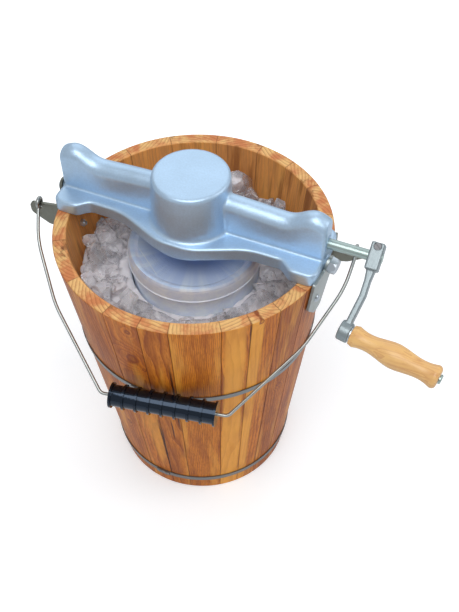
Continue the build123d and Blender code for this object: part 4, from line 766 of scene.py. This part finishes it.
dice = random.Random(11)
heap = []
placed = []
while len(heap) < LUMP_COUNT:
    azimuth = dice.uniform(0, 360)
    half = dice.uniform(*LUMP_HALF)
    level = heap_height(azimuth) - half * SINKS - dice.random() ** 2 * SINKS_MORE
    outer = wall_radius(level) - half * WALL_GAP
    inner = CAN_CLEAR_R + half * CAN_GAP
    if outer < inner:
        continue
    radius = dice.uniform(inner, outer)
    angle = math.radians(azimuth)
    centre = Vector((radius * math.cos(angle), radius * math.sin(angle), level))
    crowded = any((centre - other).length < CROWDED * (half + near) for other, near in placed)
    if crowded and dice.random() < CROWDED_DROPPED:
        continue
    placed.append((centre, half))
    up = any_direction(dice)
    size = [half * dice.uniform(*share) for share in LUMP_SIZE]
    heap.append(placed_lump(len(heap), centre, size, up))
for at, size, up in STANDING:
    heap.append(placed_lump(len(heap), at, size, up))

# %% [markdown]
# The lumps are joined into one piece, which stands for the CAD model's plain ones.

# %% Join the heap
hold(heap[0])
for lump in heap:
    lump.select_set(True)
bpy.ops.object.join()
ice_heap = bpy.context.object
ice_heap.name = "ice_heap"
for lump in lumps:
    bpy.data.objects.remove(lump)
dress(lump_ice, ice_heap)
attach(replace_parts(ice_heap, "ice_lumps"), "tub")
print("ice heap", len(heap), "lumps,", faces_of(ice_heap), "triangles")

# %% [markdown]
# Under the lumps lies a bed of finer ice. It starts as a circle round the can, which is drawn up,
# out to the wall in small rings, and down again. Noise then makes its top rough.

# %% The bed of finer ice
BED_FOOT = 0.30
BED_DEPTH = 0.026
BED_INNER_R = 0.0782
BED_WIDTH = 0.0617
BED_RINGS = 22
BED_DROP = 0.016                # how far it lies below the tops of the lumps
BED_HIGHEST = 0.352
BED_SHRINKS = 0.96              # how much its foot at the wall is drawn in, as a factor
ROUGH_FROM, ROUGH_TO = 0.0790, 0.139    # radii between which its top is rough
LOW_SIDE = 0.32                 # points below this height stay where they are


def ring_radius(ring):
    """Radius of one of the bed's rings."""
    return BED_INNER_R + BED_WIDTH * ring / BED_RINGS


bpy.ops.object.select_all(action="DESELECT")
bpy.ops.mesh.primitive_circle_add(vertices=220, radius=BED_INNER_R, location=(0, 0, BED_FOOT))
ice_floor = bpy.context.object
bpy.ops.object.transform_apply(location=True, rotation=True, scale=True)
bpy.ops.object.mode_set(mode="EDIT")
bpy.ops.mesh.select_all(action="SELECT")
bpy.ops.mesh.extrude_edges_move(TRANSFORM_OT_translate={"value": (0, 0, BED_DEPTH)})
for ring in range(BED_RINGS):
    wider = ring_radius(ring + 1) / ring_radius(ring)
    bpy.ops.mesh.extrude_edges_move(TRANSFORM_OT_translate={"value": (0, 0, 0)})
    bpy.ops.transform.resize(value=(wider, wider, 1))
bpy.ops.mesh.extrude_edges_move(TRANSFORM_OT_translate={"value": (0, 0, -BED_DEPTH)})
bpy.ops.transform.resize(value=(BED_SHRINKS, BED_SHRINKS, 1))
bpy.ops.object.mode_set(mode="OBJECT")
for point in ice_floor.data.vertices:
    radius = math.hypot(point.co.x, point.co.y)
    if point.co.z > LOW_SIDE and ROUGH_FROM < radius < ROUGH_TO:
        azimuth = math.degrees(math.atan2(point.co.y, point.co.x))
        crumbs = noise.fractal(point.co * 95.0, 0.7, 2.1, 4) * 0.0045
        waves = noise.noise(point.co * 38.0) * 0.004
        point.co.z = min(BED_HIGHEST, heap_height(azimuth) - BED_DROP + (crumbs + waves))
ice_floor.name = "ice_packing"
bpy.ops.object.shade_smooth()
dress(bed_ice, ice_floor)
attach(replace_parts(ice_floor, "ice_bed"), "tub")
print("ice packing", faces_of(ice_floor), "triangles")

# %% [markdown]
# ## Floor and light
# A plain studio: a white floor, one large soft lamp above the camera, a weaker one at the right, a
# wide bluish panel behind the bucket, and an even sky. The floor glows for the camera's own rays,
# more so away from the bucket, which takes it to white and leaves the shadow on it. The sky is
# white to those rays, and half as bright as a light.

# %% Studio floor and sky
WHITE = (1.0, 1.0, 1.0)
PAPER = (0.83, 0.86, 0.89)
GLOW = 0.30                     # how strongly the floor glows by the bucket
GLOW_MORE = 0.6                 # and how much more further out
SKY_LIGHT = 0.50                # how strongly the sky lights the scene


def camera_sees(tree):
    """1 for rays that come straight from the camera or through ice, and 0 for the others."""
    path = Wire(tree, tree.nodes.new("ShaderNodeLightPath").outputs["Is Camera Ray"])
    return path.math("MAXIMUM", path.twin("Is Transmission Ray"))


bpy.ops.object.select_all(action="DESELECT")
bpy.ops.mesh.primitive_plane_add(size=14, location=(0, 0, -0.0005))
studio_floor = bpy.context.object
studio_floor.name = "studio_floor"
bpy.ops.object.transform_apply(location=True, rotation=True, scale=True)
paper, place = new_finish("studio_paper")
far = place.node("ShaderNodeVectorMath", {"operation": "LENGTH"}, {0: place}, out=1).rise(0.2, 1.2)
matte = place.node("ShaderNodeBsdfDiffuse", (), {"Color": rgba(PAPER)})
glow_strength = camera_sees(paper.node_tree) * (GLOW + far * GLOW_MORE)
glow = place.node("ShaderNodeEmission", (), {"Strength": glow_strength})
lit = place.node("ShaderNodeAddShader", (), {0: matte, 1: glow})
place.node("ShaderNodeOutputMaterial", (), {"Surface": lit})
dress(paper, studio_floor)

sky = bpy.data.worlds.new("studio_sky")
sky.use_nodes = True
sky.node_tree.nodes.clear()
scene.world = sky
brightness = SKY_LIGHT + camera_sees(sky.node_tree) * (1.0 - SKY_LIGHT)
dome = brightness.node("ShaderNodeBackground", (), {"Color": rgba(WHITE), "Strength": brightness})
dome.node("ShaderNodeOutputWorld", (), {"Surface": dome})

# %% [markdown]
# Each lamp is a square panel that faces the middle of the bucket.

# %% Lamps
LAMPS_FACE = (0, 0, 0.3)


def softbox(name, at, size, watts, colour=WHITE):
    """A square lamp that faces the bucket."""
    lamp = bpy.data.lights.new(name, "AREA")
    lamp.size = size
    lamp.energy = watts
    lamp.color = colour
    holder = bpy.data.objects.new(name, lamp)
    scene.collection.objects.link(holder)
    holder.location = at
    holder.rotation_mode = "QUATERNION"
    holder.rotation_quaternion = (Vector(at) - Vector(LAMPS_FACE)).to_track_quat("Z", "Y")


softbox("key", (0.30, -0.95, 2.30), 1.5, 24)
softbox("side", (1.9, 0.7, 1.5), 1.2, 9)
softbox("sky_panel", (-0.7, 1.9, 2.1), 2.6, 17, (0.88, 0.95, 1.0))
